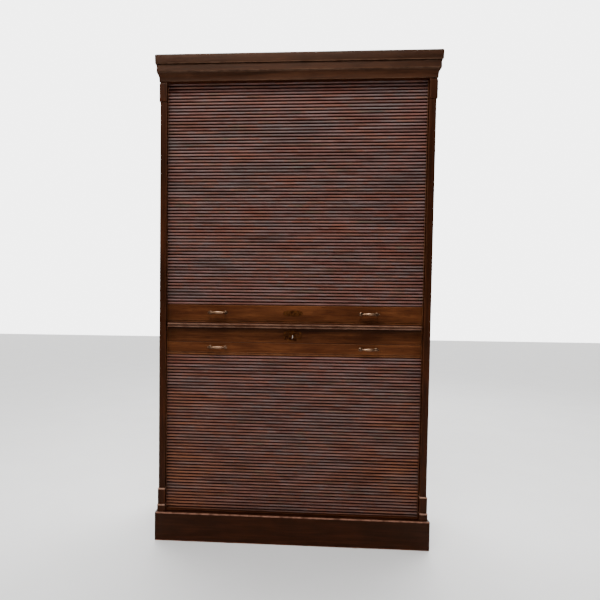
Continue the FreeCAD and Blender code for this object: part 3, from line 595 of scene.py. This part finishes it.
piece("cornice_front_length",
      moulding(cornice_outline, lambda out: (-side_face - out, side_face + out),
               lambda run, out, up: (run, front_face - out, up), "x"),
      "cabinet", cornice_wood, ["cornice_front"], crease=50)
for name, side in (("left", -1), ("right", 1)):
    piece(f"cornice_{name}_length",
          moulding(cornice_outline, lambda out: (front_face - out, rear_face),
                   lambda run, out, up: (side * (side_face + out), run, up), "y"),
          "cabinet", cornice_wood, [f"cornice_{name}"], crease=50)


def front_strip(name, node, profile, body, material, ease=1.2 * MM, trim=0.0):
    """A length across the front; profile gives (out, up) from the back face of its node's box."""
    low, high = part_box(node)
    shape = moulding(profile(high.y - low.y, low.z, high.z),
                     lambda out: (low.x + trim, high.x - trim),
                     lambda run, out, up: (run, high.y - out, up), "x", ease)
    return piece(name, shape, body, material, [node], crease=50)


def nosing_outline(deep, low, high):
    """A board with two reeds on its front, the upper one bolder, and a quirk between them."""
    tall = high - low
    split = low + 0.42 * tall
    return ([(0, low), (deep - 0.62 * tall, low)]
            + arc((deep - 0.5 * tall, (low + split) / 2), (0.22 * tall, 0.21 * tall), -84, 84)
            + [(deep - 0.44 * tall, split), (deep - 0.44 * tall, split + 0.08 * tall)]
            + arc((deep - 0.4 * tall, high - 0.25 * tall), (0.4 * tall, 0.25 * tall), -84, 84, 9)
            + [(deep - 0.62 * tall, high), (0, high)])


def rail_outline(bead):
    """A rail with a flat face, and below it a quirk and a rounded bead of the given height."""
    def outline(deep, low, high):
        joint, quirk = low + bead, deep - 2.0 * MM
        return ([(0, low)]
                + arc((deep - bead * 0.55, low + bead / 2), (bead * 0.5, bead / 2), -80, 80)
                + [(quirk, joint + 0.4 * MM), (quirk, joint + 1.9 * MM),
                   (deep, joint + 2.2 * MM), (deep, high), (0, high)])
    return outline


def plain_outline(deep, low, high):
    """A rectangle."""
    return [(0, low), (deep, low), (deep, high), (0, high)]


front_strip("mid_nosing_strip", "mid_nosing", nosing_outline, "cabinet", nosing_wood)
front_strip("plinth_front_board", "plinth_front", plain_outline, "cabinet", plinth_wood,
            PLINTH_ROUND)
for name, side in (("left", -1), ("right", 1)):
    low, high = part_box(f"plinth_{name}")
    inner = min(abs(low.x), abs(high.x))
    piece(f"plinth_{name}_board",
          moulding(plain_outline(high.x - low.x, low.z, high.z),
                   lambda out: (low.y, high.y),
                   lambda run, out, up: (side * (inner + out), run, up), "y", PLINTH_ROUND),
          "cabinet", plinth_wood, [f"plinth_{name}"], crease=50)

# Painted shade darkens the top of the lock rail in the corner under the nosing, fading downward,
# and old polish and dust have gathered in the seam over the lower lead rail. The faces of the lock
# rail and of both lead rails have no keyholes or screw holes, because plates and pulls cover their
# places.
NOSING_SHADE_FROM, NOSING_SHADE_TO, NOSING_SHADE = 4 * MM, 30 * MM, -0.92
SEAM_TALL, SEAM_SOIL = 2.5 * MM, -0.7


def lock_outline(deep, low, high):
    """A flat face whose points lie closer together near its top, where the painted shade fades."""
    drops = np.linspace(NOSING_SHADE_TO, NOSING_SHADE_FROM, 5)
    return ([(0, low), (deep, low)] + [(deep, high - drop) for drop in drops]
            + [(deep, high), (0, high)])


lock_face = front_strip("lock_rail_face", "lock_rail", lock_outline, "cabinet", rail_wood)
low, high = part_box("lock_rail")
height = spots_of(lock_face.data)[:, 2]
edge = np.zeros(len(height), np.float32)
lock_face.data.attributes[EDGE].data.foreach_get("value", edge)
# Painted shade under the nosing: the edge value falls below zero near the top of the face.
edge = np.where(height > high.z - NOSING_SHADE_TO,
                np.interp(high.z - height, (NOSING_SHADE_FROM, NOSING_SHADE_TO), (NOSING_SHADE, 0)), edge)
edge = np.where(height < low.z + SEAM_TALL, SEAM_SOIL, edge)
lock_face.data.attributes[EDGE].data.foreach_set("value", edge.astype(np.float32))

# Each lead rail has a bead along its lower edge and runs in the tracks on a tongue at each end.
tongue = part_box("upper_lead_rail")[1].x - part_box("lock_rail")[1].x
for prefix, bead in (("upper", 6 * MM), ("lower", 9 * MM)):
    front_strip(f"{prefix}_lead_rail_face", f"{prefix}_lead_rail", rail_outline(bead),
                f"{prefix}_shutter", rail_wood, trim=tongue + 0.4 * MM)
for prefix in ("upper", "lower"):
    low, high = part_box(f"{prefix}_lead_rail")
    slat_low, slat_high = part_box(f"{prefix}_slats")
    inner = high.x - tongue - 0.6 * MM
    for name, side in (("left", -1), ("right", 1)):
        ends = sorted([side * inner, side * high.x])
        piece(f"{prefix}_rail_tongue_{name}",
              board((ends[0], slat_low.y, low.z), (ends[1], slat_high.y, high.z), "z", 0.8 * MM),
              f"{prefix}_shutter", rail_wood)

LIP_TALL, LIP_OUT, LIP_OVER = 5 * MM, 1.6 * MM, 0.3 * MM


def column(side):
    """Pilaster with eased arrises, its cap, and its stepped base with a lip on each step, whose
    pale colour is a painted highlight along the top edge of the step.
    """
    boards_of(f"pilaster_{side}_strip", f"pilaster_{side}", case_wood, ease=2.4 * MM)
    for kind in ("base", "cap"):
        node = f"{kind}_blocks_{side}"
        boxes = members(node, "xyz")
        blocks = joined([board(low, high, "z", 2 * MM) for low, high in boxes])
        piece(f"column_{kind}_{side}", blocks, "cabinet", case_wood, [node])
        if kind == "base":
            # Pale lips: a painted highlight on the top edge of each step.
            lips = [board((low[0], low[1] - LIP_OUT, high[2] - LIP_TALL), high + (0, 0, LIP_OVER),
                          "x", 1.4 * MM) for low, high in boxes]
            piece(f"column_lips_{side}", joined(lips), "cabinet", lip_wood)


for side in ("left", "right"):
    column(side)

# ---- Inside: tracks, shelves, bearers, false backs, ceiling and floor ----
# Plain boards of a paler wood, thinly stained. The tracks are grooved boards on the sides, and the
# shelves rest on screwed bearers.

for node in ("inner_ceiling", "inner_floor", "upper_false_back", "lower_false_back",
             "upper_shelves", "lower_shelves", "upper_shelf_bearers", "lower_shelf_bearers"):
    boards_of(f"{node}_boards", node, inner_wood)
for node in ("upper_track_left", "upper_track_right", "lower_track_left", "lower_track_right",
             "mid_shelf"):
    bevelled(f"{node}_board", node, inner_wood)

# ---- Curtains: half-round slats ----
# Narrow half-round slats glued to canvas. Their crowns are rubbed bare, and their pale grey, pink
# or tan colour, changing in patches along each slat, is also a painted highlight. The flanks keep
# the dark red stain and its dirt, and go nearly black towards the gaps between slats as painted
# shade.

CREST = "crest"                     # 0 at a slat's edge, 1 on its crown
REST = "rest"                       # place when the curtain is closed
SLAT_PITCH = 13.5 * MM
SLAT_GAP = 0.5 * MM
SLAT_EDGE = 2.2 * MM                # straight part of a slat's side
SLAT_STEPS = 11
SLAT_FULLNESS = 0.8                 # below 1 a slat is fuller than a half ellipse
SLAT_SHRINK = 0.995
SLAT_SUNK, SLAT_TILT = 0.12, 0.012  # how unevenly slats sit: depth in mm, and lean
TILT_WAVE = 20 * MM


def slat_finish():
    """Dark red flanks under a rubbed crown whose pale colour, changing in patches along the slat,
    is also a painted highlight.
    """
    mix = Recipe("slat_wood")
    place, rest = mix.attribute(GRAIN, vector=True), mix.attribute(REST, vector=True)
    crest, tone = mix.attribute(CREST), mix.attribute(TONE)
    patch = mix.noise(place, (1, 0.4, 0.4), 5.5, 4.0, 0.4)
    hue = mix.noise(place, (1, 0.4, 0.4), 8.0, 3.0, 0.2)
    zone = mix.noise(rest, (1, 1, 4.5), 4.2, 3.0, 0.5)
    streak = mix.noise(place, (0.35, 12, 12), 22.0, 4.0)
    pore = mix.noise(place, (0.05, 1, 1), 900.0, 2.0)
    # Pale crown colours: rubbed bare wood and a painted highlight.
    crown = mix.ramp(hue, (0.30, srgb(100, 72, 66)), (0.42, srgb(120, 90, 86)),
                     (0.50, srgb(112, 96, 94)), (0.58, srgb(124, 86, 76)),
                     (0.70, srgb(98, 88, 78)))
    crown = mix.mix(mix.level(zone, 0.48, 0.68, 0.0, 0.5), crown, srgb(122, 72, 58))
    crown = mix.mix(mix.level(zone, 0.46, 0.34, 0.0, 0.55), crown, srgb(86, 88, 88))
    split = mix.tree.nodes.new("ShaderNodeSeparateXYZ")
    mix.plug(split.inputs["Vector"], rest)
    across = mix.maths("MULTIPLY", split.outputs["X"], split.outputs["X"])
    warm = mix.maths("MULTIPLY", mix.level(split.outputs["Z"], 0.85, 0.4, 0.0, 0.62),
                     mix.level(across, 0.03, 0.22, 0.2, 1.0))
    warm = mix.maths("MULTIPLY", warm, mix.level(zone, 0.42, 0.58, 0.35, 1.0))
    crown = mix.mix(warm, crown, srgb(142, 88, 58))
    worn = mix.mix(mix.level(streak, 0.35, 0.65, 0.0, 0.42), crown, srgb(68, 36, 31))
    flank = mix.mix(mix.level(tone, 0, 1), srgb(26, 3, 1), srgb(42, 7, 3))
    shift = mix.level(patch, 0.3, 0.7, -0.05, 0.04)
    crown_wear_and_highlight = mix.level(mix.maths("ADD", crest, shift), 0.76, 0.99)
    crown_wear_and_highlight = mix.maths("MULTIPLY", crown_wear_and_highlight, mix.level(patch, 0.28, 0.6, 0.84, 1.0))
    colour = mix.mix(crown_wear_and_highlight, flank, worn)
    colour = mix.mix(mix.level(pore, 0.6, 0.7, 0.0, 0.4), colour, BLACK)
    # Painted shade: each slat goes nearly black towards its edges, in the gaps between slats.
    colour = mix.mix(mix.level(crest, 0.0, 0.22, 0.92, 0.0), colour, BLACK)
    mix.bump(mix.maths("ADD", streak, mix.level(pore, 0.55, 0.7, 0.7, 0.0)), 0.3, 0.0003)
    return mix.finish(Base_Color=colour, Roughness=mix.level(patch, 0.3, 0.7, 0.4, 0.55),
                      Coat_Weight=0.02, Coat_Roughness=0.3, Specular_IOR_Level=0.12,
                      Specular_Tint=VARNISH)


slat_wood = slat_finish()


def slats(prefix):
    """Every slat of a curtain: a full half ellipse on two short straight sides, with a flat back.

    The crown's height goes as the sine of the way round, to the power SLAT_FULLNESS, and crest is
    that height as a share of the whole. Each slat is a little sunk and a little tilted.
    """
    low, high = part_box(f"{prefix}_slats")
    count = round((high.z - low.z) / SLAT_PITCH)
    half = (SLAT_PITCH - SLAT_GAP) / 2
    rise = high.y - low.y - SLAT_EDGE
    turn = np.linspace(0, math.pi, SLAT_STEPS)
    up = np.concatenate([[half], half * np.cos(turn), [-half]])
    crown = np.sin(turn) ** SLAT_FULLNESS
    out = np.concatenate([[0], SLAT_EDGE + rise * crown, [0]])
    crest = np.concatenate([[0], crown, [0]])
    shells, crests, rests = [], [], []
    for number in range(count):
        centre = low.z + SLAT_PITCH * number + SLAT_PITCH / 2
        sunk, tilt = abs(chance.normal(0, SLAT_SUNK)) * MM, chance.normal(0, SLAT_TILT)
        points = np.empty((2, len(up), 3))
        points[0, :, 0], points[1, :, 0] = low.x, high.x
        points[:, :, 1] = high.y - out * (1 - sunk / rise)
        points[:, :, 2] = (centre + up * SLAT_SHRINK
                           + tilt * (out - SLAT_EDGE) * np.sin(math.pi * out / TILT_WAVE))
        shells.append(shell(points))
        crests.append(np.tile(crest, 2))
        rests.append(shells[-1]["vertices"])
    whole = joined(shells)
    whole[CREST], whole[REST] = np.concatenate(crests), np.concatenate(rests)
    return whole


CURTAINS = {"upper": ("upper_shutter_slide", (0, 0, 1)),
            "lower": ("lower_shutter_slide", (0, 0, -1))}


def joint_of(name):
    """The frame's joint of this name."""
    return next(item for item in frame["joints"] if item["name"] == name)


def squashed(thing):
    """Give a curtain its own copy of its mesh."""
    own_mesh(thing)


for prefix in CURTAINS:
    strip = piece(f"{prefix}_slat_rows", slats(prefix), "cabinet", slat_wood,
                  [f"{prefix}_slats"], crease=60, extra=(CREST, REST))
    squashed(strip)

# ---- Canvas backing ----
# One sheet of unbleached plain-weave canvas is glued across the backs of all slats of a curtain and
# keeps them in line. It is flat and under light tension when the shutter is closed.

WEAVE = 700.0  # threads a metre
CANVAS_STEPS = 25


def canvas_finish():
    """Plain weave: two crossed sets of threads, dusty and a little uneven in tone."""
    mix = Recipe("canvas")
    place = mix.attribute(GRAIN, vector=True)
    split = mix.tree.nodes.new("ShaderNodeSeparateXYZ")
    mix.plug(split.inputs["Vector"], place)
    threads = [mix.maths("ABSOLUTE", mix.maths("SINE", mix.maths(
        "MULTIPLY", split.outputs[axis], WEAVE * math.pi), 0.0), 0.0) for axis in ("X", "Y")]
    height = mix.maths("MULTIPLY", *threads)
    dirt = mix.noise(place, (1, 1, 1), 4.0, 5.0)
    colour = mix.mix(mix.level(dirt, 0.3, 0.7), srgb(150, 130, 100), srgb(186, 168, 136))
    colour = mix.mix(mix.level(height, 0.0, 0.5, 0.5, 0.0), colour, srgb(96, 78, 56))
    mix.bump(height, 0.5, 0.0003)
    return mix.finish(Base_Color=colour, Roughness=0.95, Specular_IOR_Level=0.1)


canvas = canvas_finish()
for prefix in CURTAINS:
    low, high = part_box(f"{prefix}_canvas")
    middle = (low.y + high.y) / 2
    across, rise = np.meshgrid(np.linspace(low.x, high.x, CANVAS_STEPS),
                               np.linspace(low.z, high.z, CANVAS_STEPS), indexing="ij")
    points = np.stack([across, np.full_like(across, middle), rise], axis=-1)
    spots = points.reshape(-1, 3)
    item = {"vertices": spots,
            "faces": grid_faces(CANVAS_STEPS, CANVAS_STEPS, wrap_columns=False).tolist(),
            EDGE: np.zeros(len(spots)), TONE: np.zeros(len(spots)), GRAIN: spots[:, [0, 2, 1]]}
    cloth = piece(f"{prefix}_canvas_cloth", item, "cabinet", canvas, [f"{prefix}_canvas"])
    squashed(cloth)
    thick = cloth.modifiers.new("thick", "SOLIDIFY")
    thick.thickness = high.y - low.y
    thick.offset = 0

# ---- Brass pulls and their screws ----
# Cast bow pulls of brass gone brown, bright where hands rub them and with a painted highlight along
# the upper front of each bar. Each has a swelling bar on two turned posts with rosettes, and two
# screws from behind the rail.


def metal(name, bright, dark, rough, patina):
    """Metal with a cloudy patina, bright where edge is high and dirty where it is low."""
    bright, dark = srgb(*bright), srgb(*dark)
    mix = Recipe(name)
    place = mix.attribute(GRAIN, vector=True)
    edge = mix.attribute(EDGE)
    cloud = mix.noise(place, (1, 1, 1), 60.0, 5.0, 0.5)
    scratch = mix.noise(place, (0.2, 1, 1), 900.0, 3.0)
    colour = mix.mix(mix.level(cloud, 0.35, 0.65, 0.2, 0.2 + patina), bright, dark)
    colour = mix.mix(mix.level(edge, 0.3, 1.0, 0.0, 0.75), colour, bright)
    colour = mix.mix(mix.level(edge, -1.0, -0.1, 0.8, 0.0), colour, BLACK)
    gloss = mix.maths("ADD", mix.level(cloud, 0.3, 0.7, rough - 0.06, rough + 0.14),
                      mix.level(scratch, 0.3, 0.7, -0.04, 0.05))
    mix.bump(mix.maths("ADD", cloud, mix.maths("MULTIPLY", scratch, 0.3)), 0.15, 0.0002)
    return mix.finish(Base_Color=colour, Roughness=gloss, Metallic=1.0)


aged_brass = metal("aged_brass", (158, 124, 98), (30, 15, 8), 0.32, 0.78)
lock_brass = metal("lock_brass", (186, 150, 92), (120, 90, 52), 0.4, 0.5)
screw_steel = metal("screw_steel", (150, 146, 140), (84, 78, 72), 0.4, 0.6)
lock_steel = metal("lock_steel", (214, 208, 198), (140, 132, 122), 0.26, 0.4)
TURN_STEPS = 28
PULL_BELLY = 6.2 * MM   # radius of a pull's bar in its middle
FOOT_SHARE = 33 / 42.5  # place of a pull's posts along its half length


def around(steps):
    """Angles of evenly spaced steps round a circle."""
    return np.linspace(0, 2 * math.pi, steps, endpoint=False)


def turned(profile, centre, axis, edge=None):
    """A solid of revolution: profile rows are (place along the axis, radius), closed at both ends.

    Edge has one value for each row, or one for each row and step round it.
    """
    profile = np.array(profile, float)
    first, second, third = AXES[axis]
    turn = around(TURN_STEPS)
    points = np.empty((len(profile), TURN_STEPS, 3))
    points[:, :, first] = centre[first] + profile[:, :1]
    points[:, :, second] = centre[second] + profile[:, 1:] * np.cos(turn)
    points[:, :, third] = centre[third] + profile[:, 1:] * np.sin(turn)
    rim = np.zeros(len(profile)) if edge is None else np.array(edge)
    return shell(points, rim if rim.ndim == 2 else rim[:, None], axis)


def painted_highlight_above():
    """A painted highlight: 1 on the upper front of a bar along x and 0.1 below, by the sine of the
    way round.
    """
    turn = around(TURN_STEPS)
    return 0.55 + 0.45 * np.sin(turn - 0.6)[None, :]


def bar_profile(half, feet, belly):
    """Radius along a pull's bar, as the widest of four shapes, and how much each place is rubbed.

    Between the posts the bar swells as a cosine, with a bead at its middle. At each post it has a
    collar, and past each post a ball.
    """
    run = np.linspace(-half, half, 91)
    span = np.abs(run)
    swell = 0.45 * belly + 0.55 * belly * np.cos(math.pi / 2 * np.clip(span / feet, 0, 1)) ** 1.4
    swell = np.where(span <= feet, swell, 0.45 * belly * np.clip(1.6 - span / feet, 0.1, 1))
    collar = 0.72 * belly * np.exp(-((span - feet) / (1.9 * MM)) ** 2)
    ball_at, ball = (half + feet) / 2 + 1.2 * MM, half - (half + feet) / 2 - 1.2 * MM
    knob = 0.62 * belly * np.sqrt(np.clip(1 - ((span - ball_at) / ball) ** 2, 0, 1))
    bead = belly * 1.02 * np.exp(-(span / (1.6 * MM)) ** 4)
    radius = np.max([swell, collar, knob, bead], axis=0)
    radius[[0, -1]] = 0.15 * MM
    rubbed = np.where(span < 0.85 * feet, radius / belly * 1.5 - 0.55, -0.35)
    return np.stack([run, radius], axis=1), np.clip(rubbed, -0.4, 1)


def pull(prefix, side):
    """Two rosettes and turned posts on the rail's face, and the bar that they carry."""
    node = f"{prefix}_handle_{side}"
    low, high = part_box(node)
    face, level = high.y, (low.z + high.z) / 2
    centre = (low.x + high.x) / 2
    half = (high.x - low.x) / 2
    feet = half * FOOT_SHARE
    disc = (high.z - low.z) / 2
    bar = low.y + PULL_BELLY
    profile, edge = bar_profile(half, feet, PULL_BELLY)
    # The bar's rubbed places are brighter on its upper front: a painted highlight.
    shells = [turned(profile, (centre, bar, level), "x", edge[:, None] * painted_highlight_above())]
    rosette = [(0, disc * 0.96), (-0.7 * MM, disc), (-1.3 * MM, disc * 0.95),
               (-1.5 * MM, disc * 0.78), (-1.3 * MM, disc * 0.74), (-1.9 * MM, disc * 0.66),
               (-2.5 * MM, disc * 0.52), (-2.7 * MM, disc * 0.36)]
    rosette_edge = [-0.4, 0.5, 0.4, -0.8, -0.8, 0.2, 0.1, -0.6]
    long = face - bar
    post = [(-2.6 * MM, 3.9 * MM), (-4.2 * MM, 3.4 * MM), (-long * 0.42, 2.5 * MM),
            (-long * 0.62, 2.7 * MM), (-long * 0.74, 3.7 * MM), (-long * 0.82, 3.7 * MM),
            (-long * 0.9, 2.9 * MM), (-long - 1.2 * MM, 2.6 * MM)]
    post_edge = [-0.6, -0.1, -0.2, 0.0, 0.4, 0.4, -0.4, -0.2]
    for foot in (-feet, feet):
        spot = (centre + foot, face, level)
        shells.append(turned(rosette, spot, "y", rosette_edge))
        shells.append(turned(post, spot, "y", post_edge))
    piece(f"{prefix}_pull_{side}", joined(shells), f"{prefix}_shutter", aged_brass,
          [node], crease=55)


for prefix in CURTAINS:
    for side in ("left", "right"):
        pull(prefix, side)
    bevelled(f"{prefix}_pull_screws", f"{prefix}_handle_screws", screw_steel,
             f"{prefix}_shutter", 0.3 * MM)

# ---- Escutcheons, locks and key ----
# Pierced and scalloped plates of dark brass, lock cases and bolts of cast brass behind the rails,
# and a steel key that stands in the lower lock.

KEYHOLE = 3 * MM
PLATE_STEPS = 96


def ring_points(radius, centre, steps=20):
    """Points of a circle, as (x, z)."""
    turn = around(steps)
    return np.stack([centre[0] + radius * np.cos(turn), centre[1] + radius * np.sin(turn)], axis=1)


def keyhole(level):
    """A round hole with a tapered slot below it."""
    head = ring_points(KEYHOLE, (0, level), 24)
    head = head[head[:, 1] > level - 0.78 * KEYHOLE]
    turn = np.arctan2(head[:, 1] - level, head[:, 0])
    head = head[np.argsort(np.where(turn < -math.pi / 2, turn + 2 * math.pi, turn))]
    slot = [(-0.75 * KEYHOLE, level - 2.7 * KEYHOLE), (0.75 * KEYHOLE, level - 2.7 * KEYHOLE)]
    return np.concatenate([head, slot])


def plate(name, node, level, lobes, body, keyhole_slot=True):
    """A thin plate with a lobed rim, a keyhole and a pierced hole inside each pair of lobes.

    The rim is an ellipse whose radius swings by a tenth, lobes times around.
    """
    low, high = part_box(node)
    wide, tall = (high.x - low.x) / 2, (high.z - low.z) / 2
    middle = (low.z + high.z) / 2
    turn = around(PLATE_STEPS)
    swing = 0.93 + 0.07 * np.cos(lobes * turn)
    squareness = (np.abs(np.cos(turn)) ** 3 + np.abs(np.sin(turn)) ** 3) ** (-1 / 3)
    rim = np.stack([wide * squareness * swing * np.cos(turn),
                    middle + tall * squareness * swing * np.sin(turn)], axis=1)
    holes = [keyhole(level)] if keyhole_slot else [ring_points(KEYHOLE, (0, level))]
    for share in (0.42, 0.62, 0.80):
        size = tall * (0.20 - 0.08 * share)
        lifts = (-0.46, 0.0, 0.46) if share < 0.7 else (0.0,)
        for side in (-1, 1):
            holes += [ring_points(size, (side * wide * share, middle + lift * tall), 14)
                      for lift in lifts]
    curve = bpy.data.curves.new(name, "CURVE")
    curve.dimensions = "2D"
    curve.fill_mode = "BOTH"
    curve.bevel_depth = 0.25 * MM
    curve.bevel_resolution = 2
    curve.extrude = (high.y - low.y) / 2 - 0.25 * MM
    for outline in (rim, *holes):
        line = curve.splines.new("POLY")
        line.points.add(len(outline) - 1)
        flat = np.concatenate([outline, np.zeros((len(outline), 1)), np.ones((len(outline), 1))], 1)
        line.points.foreach_set("co", flat.ravel())
        line.use_cyclic_u = True
    drawn = bpy.data.objects.new(f"{name}_drawing", curve)
    show(drawn)
    bpy.context.view_layer.update()
    mesh = welded(bpy.data.meshes.new_from_object(drawn.evaluated_get(
        bpy.context.evaluated_depsgraph_get())))
    spots = spots_of(mesh)
    bpy.data.objects.remove(drawn)
    depth = spots[:, 2].copy()
    placed = np.stack([spots[:, 0], (low.y + high.y) / 2 - depth, spots[:, 1]], axis=1)
    faces = [list(face.vertices) for face in mesh.polygons]
    front = (depth - depth.min()) / np.ptp(depth)
    item = {"vertices": placed, "faces": faces,
            EDGE: np.where(np.abs(front - 0.88) < 0.1, 0.5, -0.15),
            GRAIN: placed + chance.uniform(-3, 3, 3), TONE: np.zeros(len(placed))}
    piece(name, item, body, plate_brass, [node], crease=40)


plate_brass = metal("plate_brass", (104, 62, 30), (44, 21, 9), 0.5, 0.75)
low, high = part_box("upper_escutcheon")
plate("upper_escutcheon_plate", "upper_escutcheon", (low.z + high.z) / 2, 12, "upper_shutter",
      keyhole_slot=False)
for node, body in (("upper_lock_case", "upper_shutter"), ("lower_lock_case", "cabinet"),
                   ("upper_lock_bolt", "upper_bolt"), ("lower_lock_bolt", "lower_bolt"),
                   ("upper_strike_plate", "cabinet"), ("lower_keeper", "lower_shutter")):
    bevelled(f"{node}_metal", node, lock_brass, body, 0.4 * MM)

KEY_AXIS = joint_of("key_turn")["pos_m"]
KEY_TILT = math.radians(20)
BOW, BOW_MINOR = 7.0 * MM, 1.5 * MM  # radii of the bow's ring and of its wire
BOW_TALL = 1.12                      # height of the bow over its width
BOW_STEPS = 12
plate("lower_escutcheon_plate", "lower_escutcheon", KEY_AXIS[2], 10, "cabinet")


def key():
    """A turned stem with a collar, an oval ring for a bow, and a bit, all tilted about the stem."""
    low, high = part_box("key")
    x, z = KEY_AXIS[0], KEY_AXIS[2]
    bow_at = low.y + BOW + BOW_MINOR
    root = bow_at + BOW
    stem = [(root - 0.4 * MM, 1.6 * MM), (root + 0.8 * MM, 2.6 * MM), (root + 2.0 * MM, 3.1 * MM),
            (root + 3.0 * MM, 2.5 * MM), (root + 3.6 * MM, 2.1 * MM), (high.y - 0.4 * MM, 2.1 * MM),
            (high.y, 1.6 * MM)]
    shells = [turned(stem, (x, 0, z), "y", [-0.4, 0.2, 1, 0.2, -0.6, 0.2, 0.9])]
    big, small = around(36), around(BOW_STEPS)
    radius = BOW + BOW_MINOR * np.cos(small)[None, :]
    points = np.stack(np.broadcast_arrays(
        x + BOW_MINOR * np.sin(small)[None, :], bow_at + radius * np.cos(big)[:, None],
        z + BOW_TALL * radius * np.sin(big)[:, None]), axis=-1)
    ring = shell(points, np.cos(small)[None, :] * 0.8, "y")
    last = (len(big) - 1) * BOW_STEPS
    closing = [[last + step, last + (step + 1) % BOW_STEPS, (step + 1) % BOW_STEPS, step]
               for step in range(BOW_STEPS)]
    ring["faces"] = ring["faces"][:-2] + closing
    shells.append(ring)
    shells.append(board((x - 1.0 * MM, high.y - 3.0 * MM, z - 7.0 * MM),
                        (x + 1.0 * MM, high.y, z), "z", 0.3 * MM))
    whole = joined(shells)
    spots = whole["vertices"]
    across, rise = spots[:, 0] - x, spots[:, 2] - z
    whole["vertices"] = np.stack([x + across * math.cos(KEY_TILT) + rise * math.sin(KEY_TILT),
                                  spots[:, 1],
                                  z - across * math.sin(KEY_TILT) + rise * math.cos(KEY_TILT)], 1)
    piece("key_steel", whole, "key_body", lock_steel, ["key"], crease=50)


key()
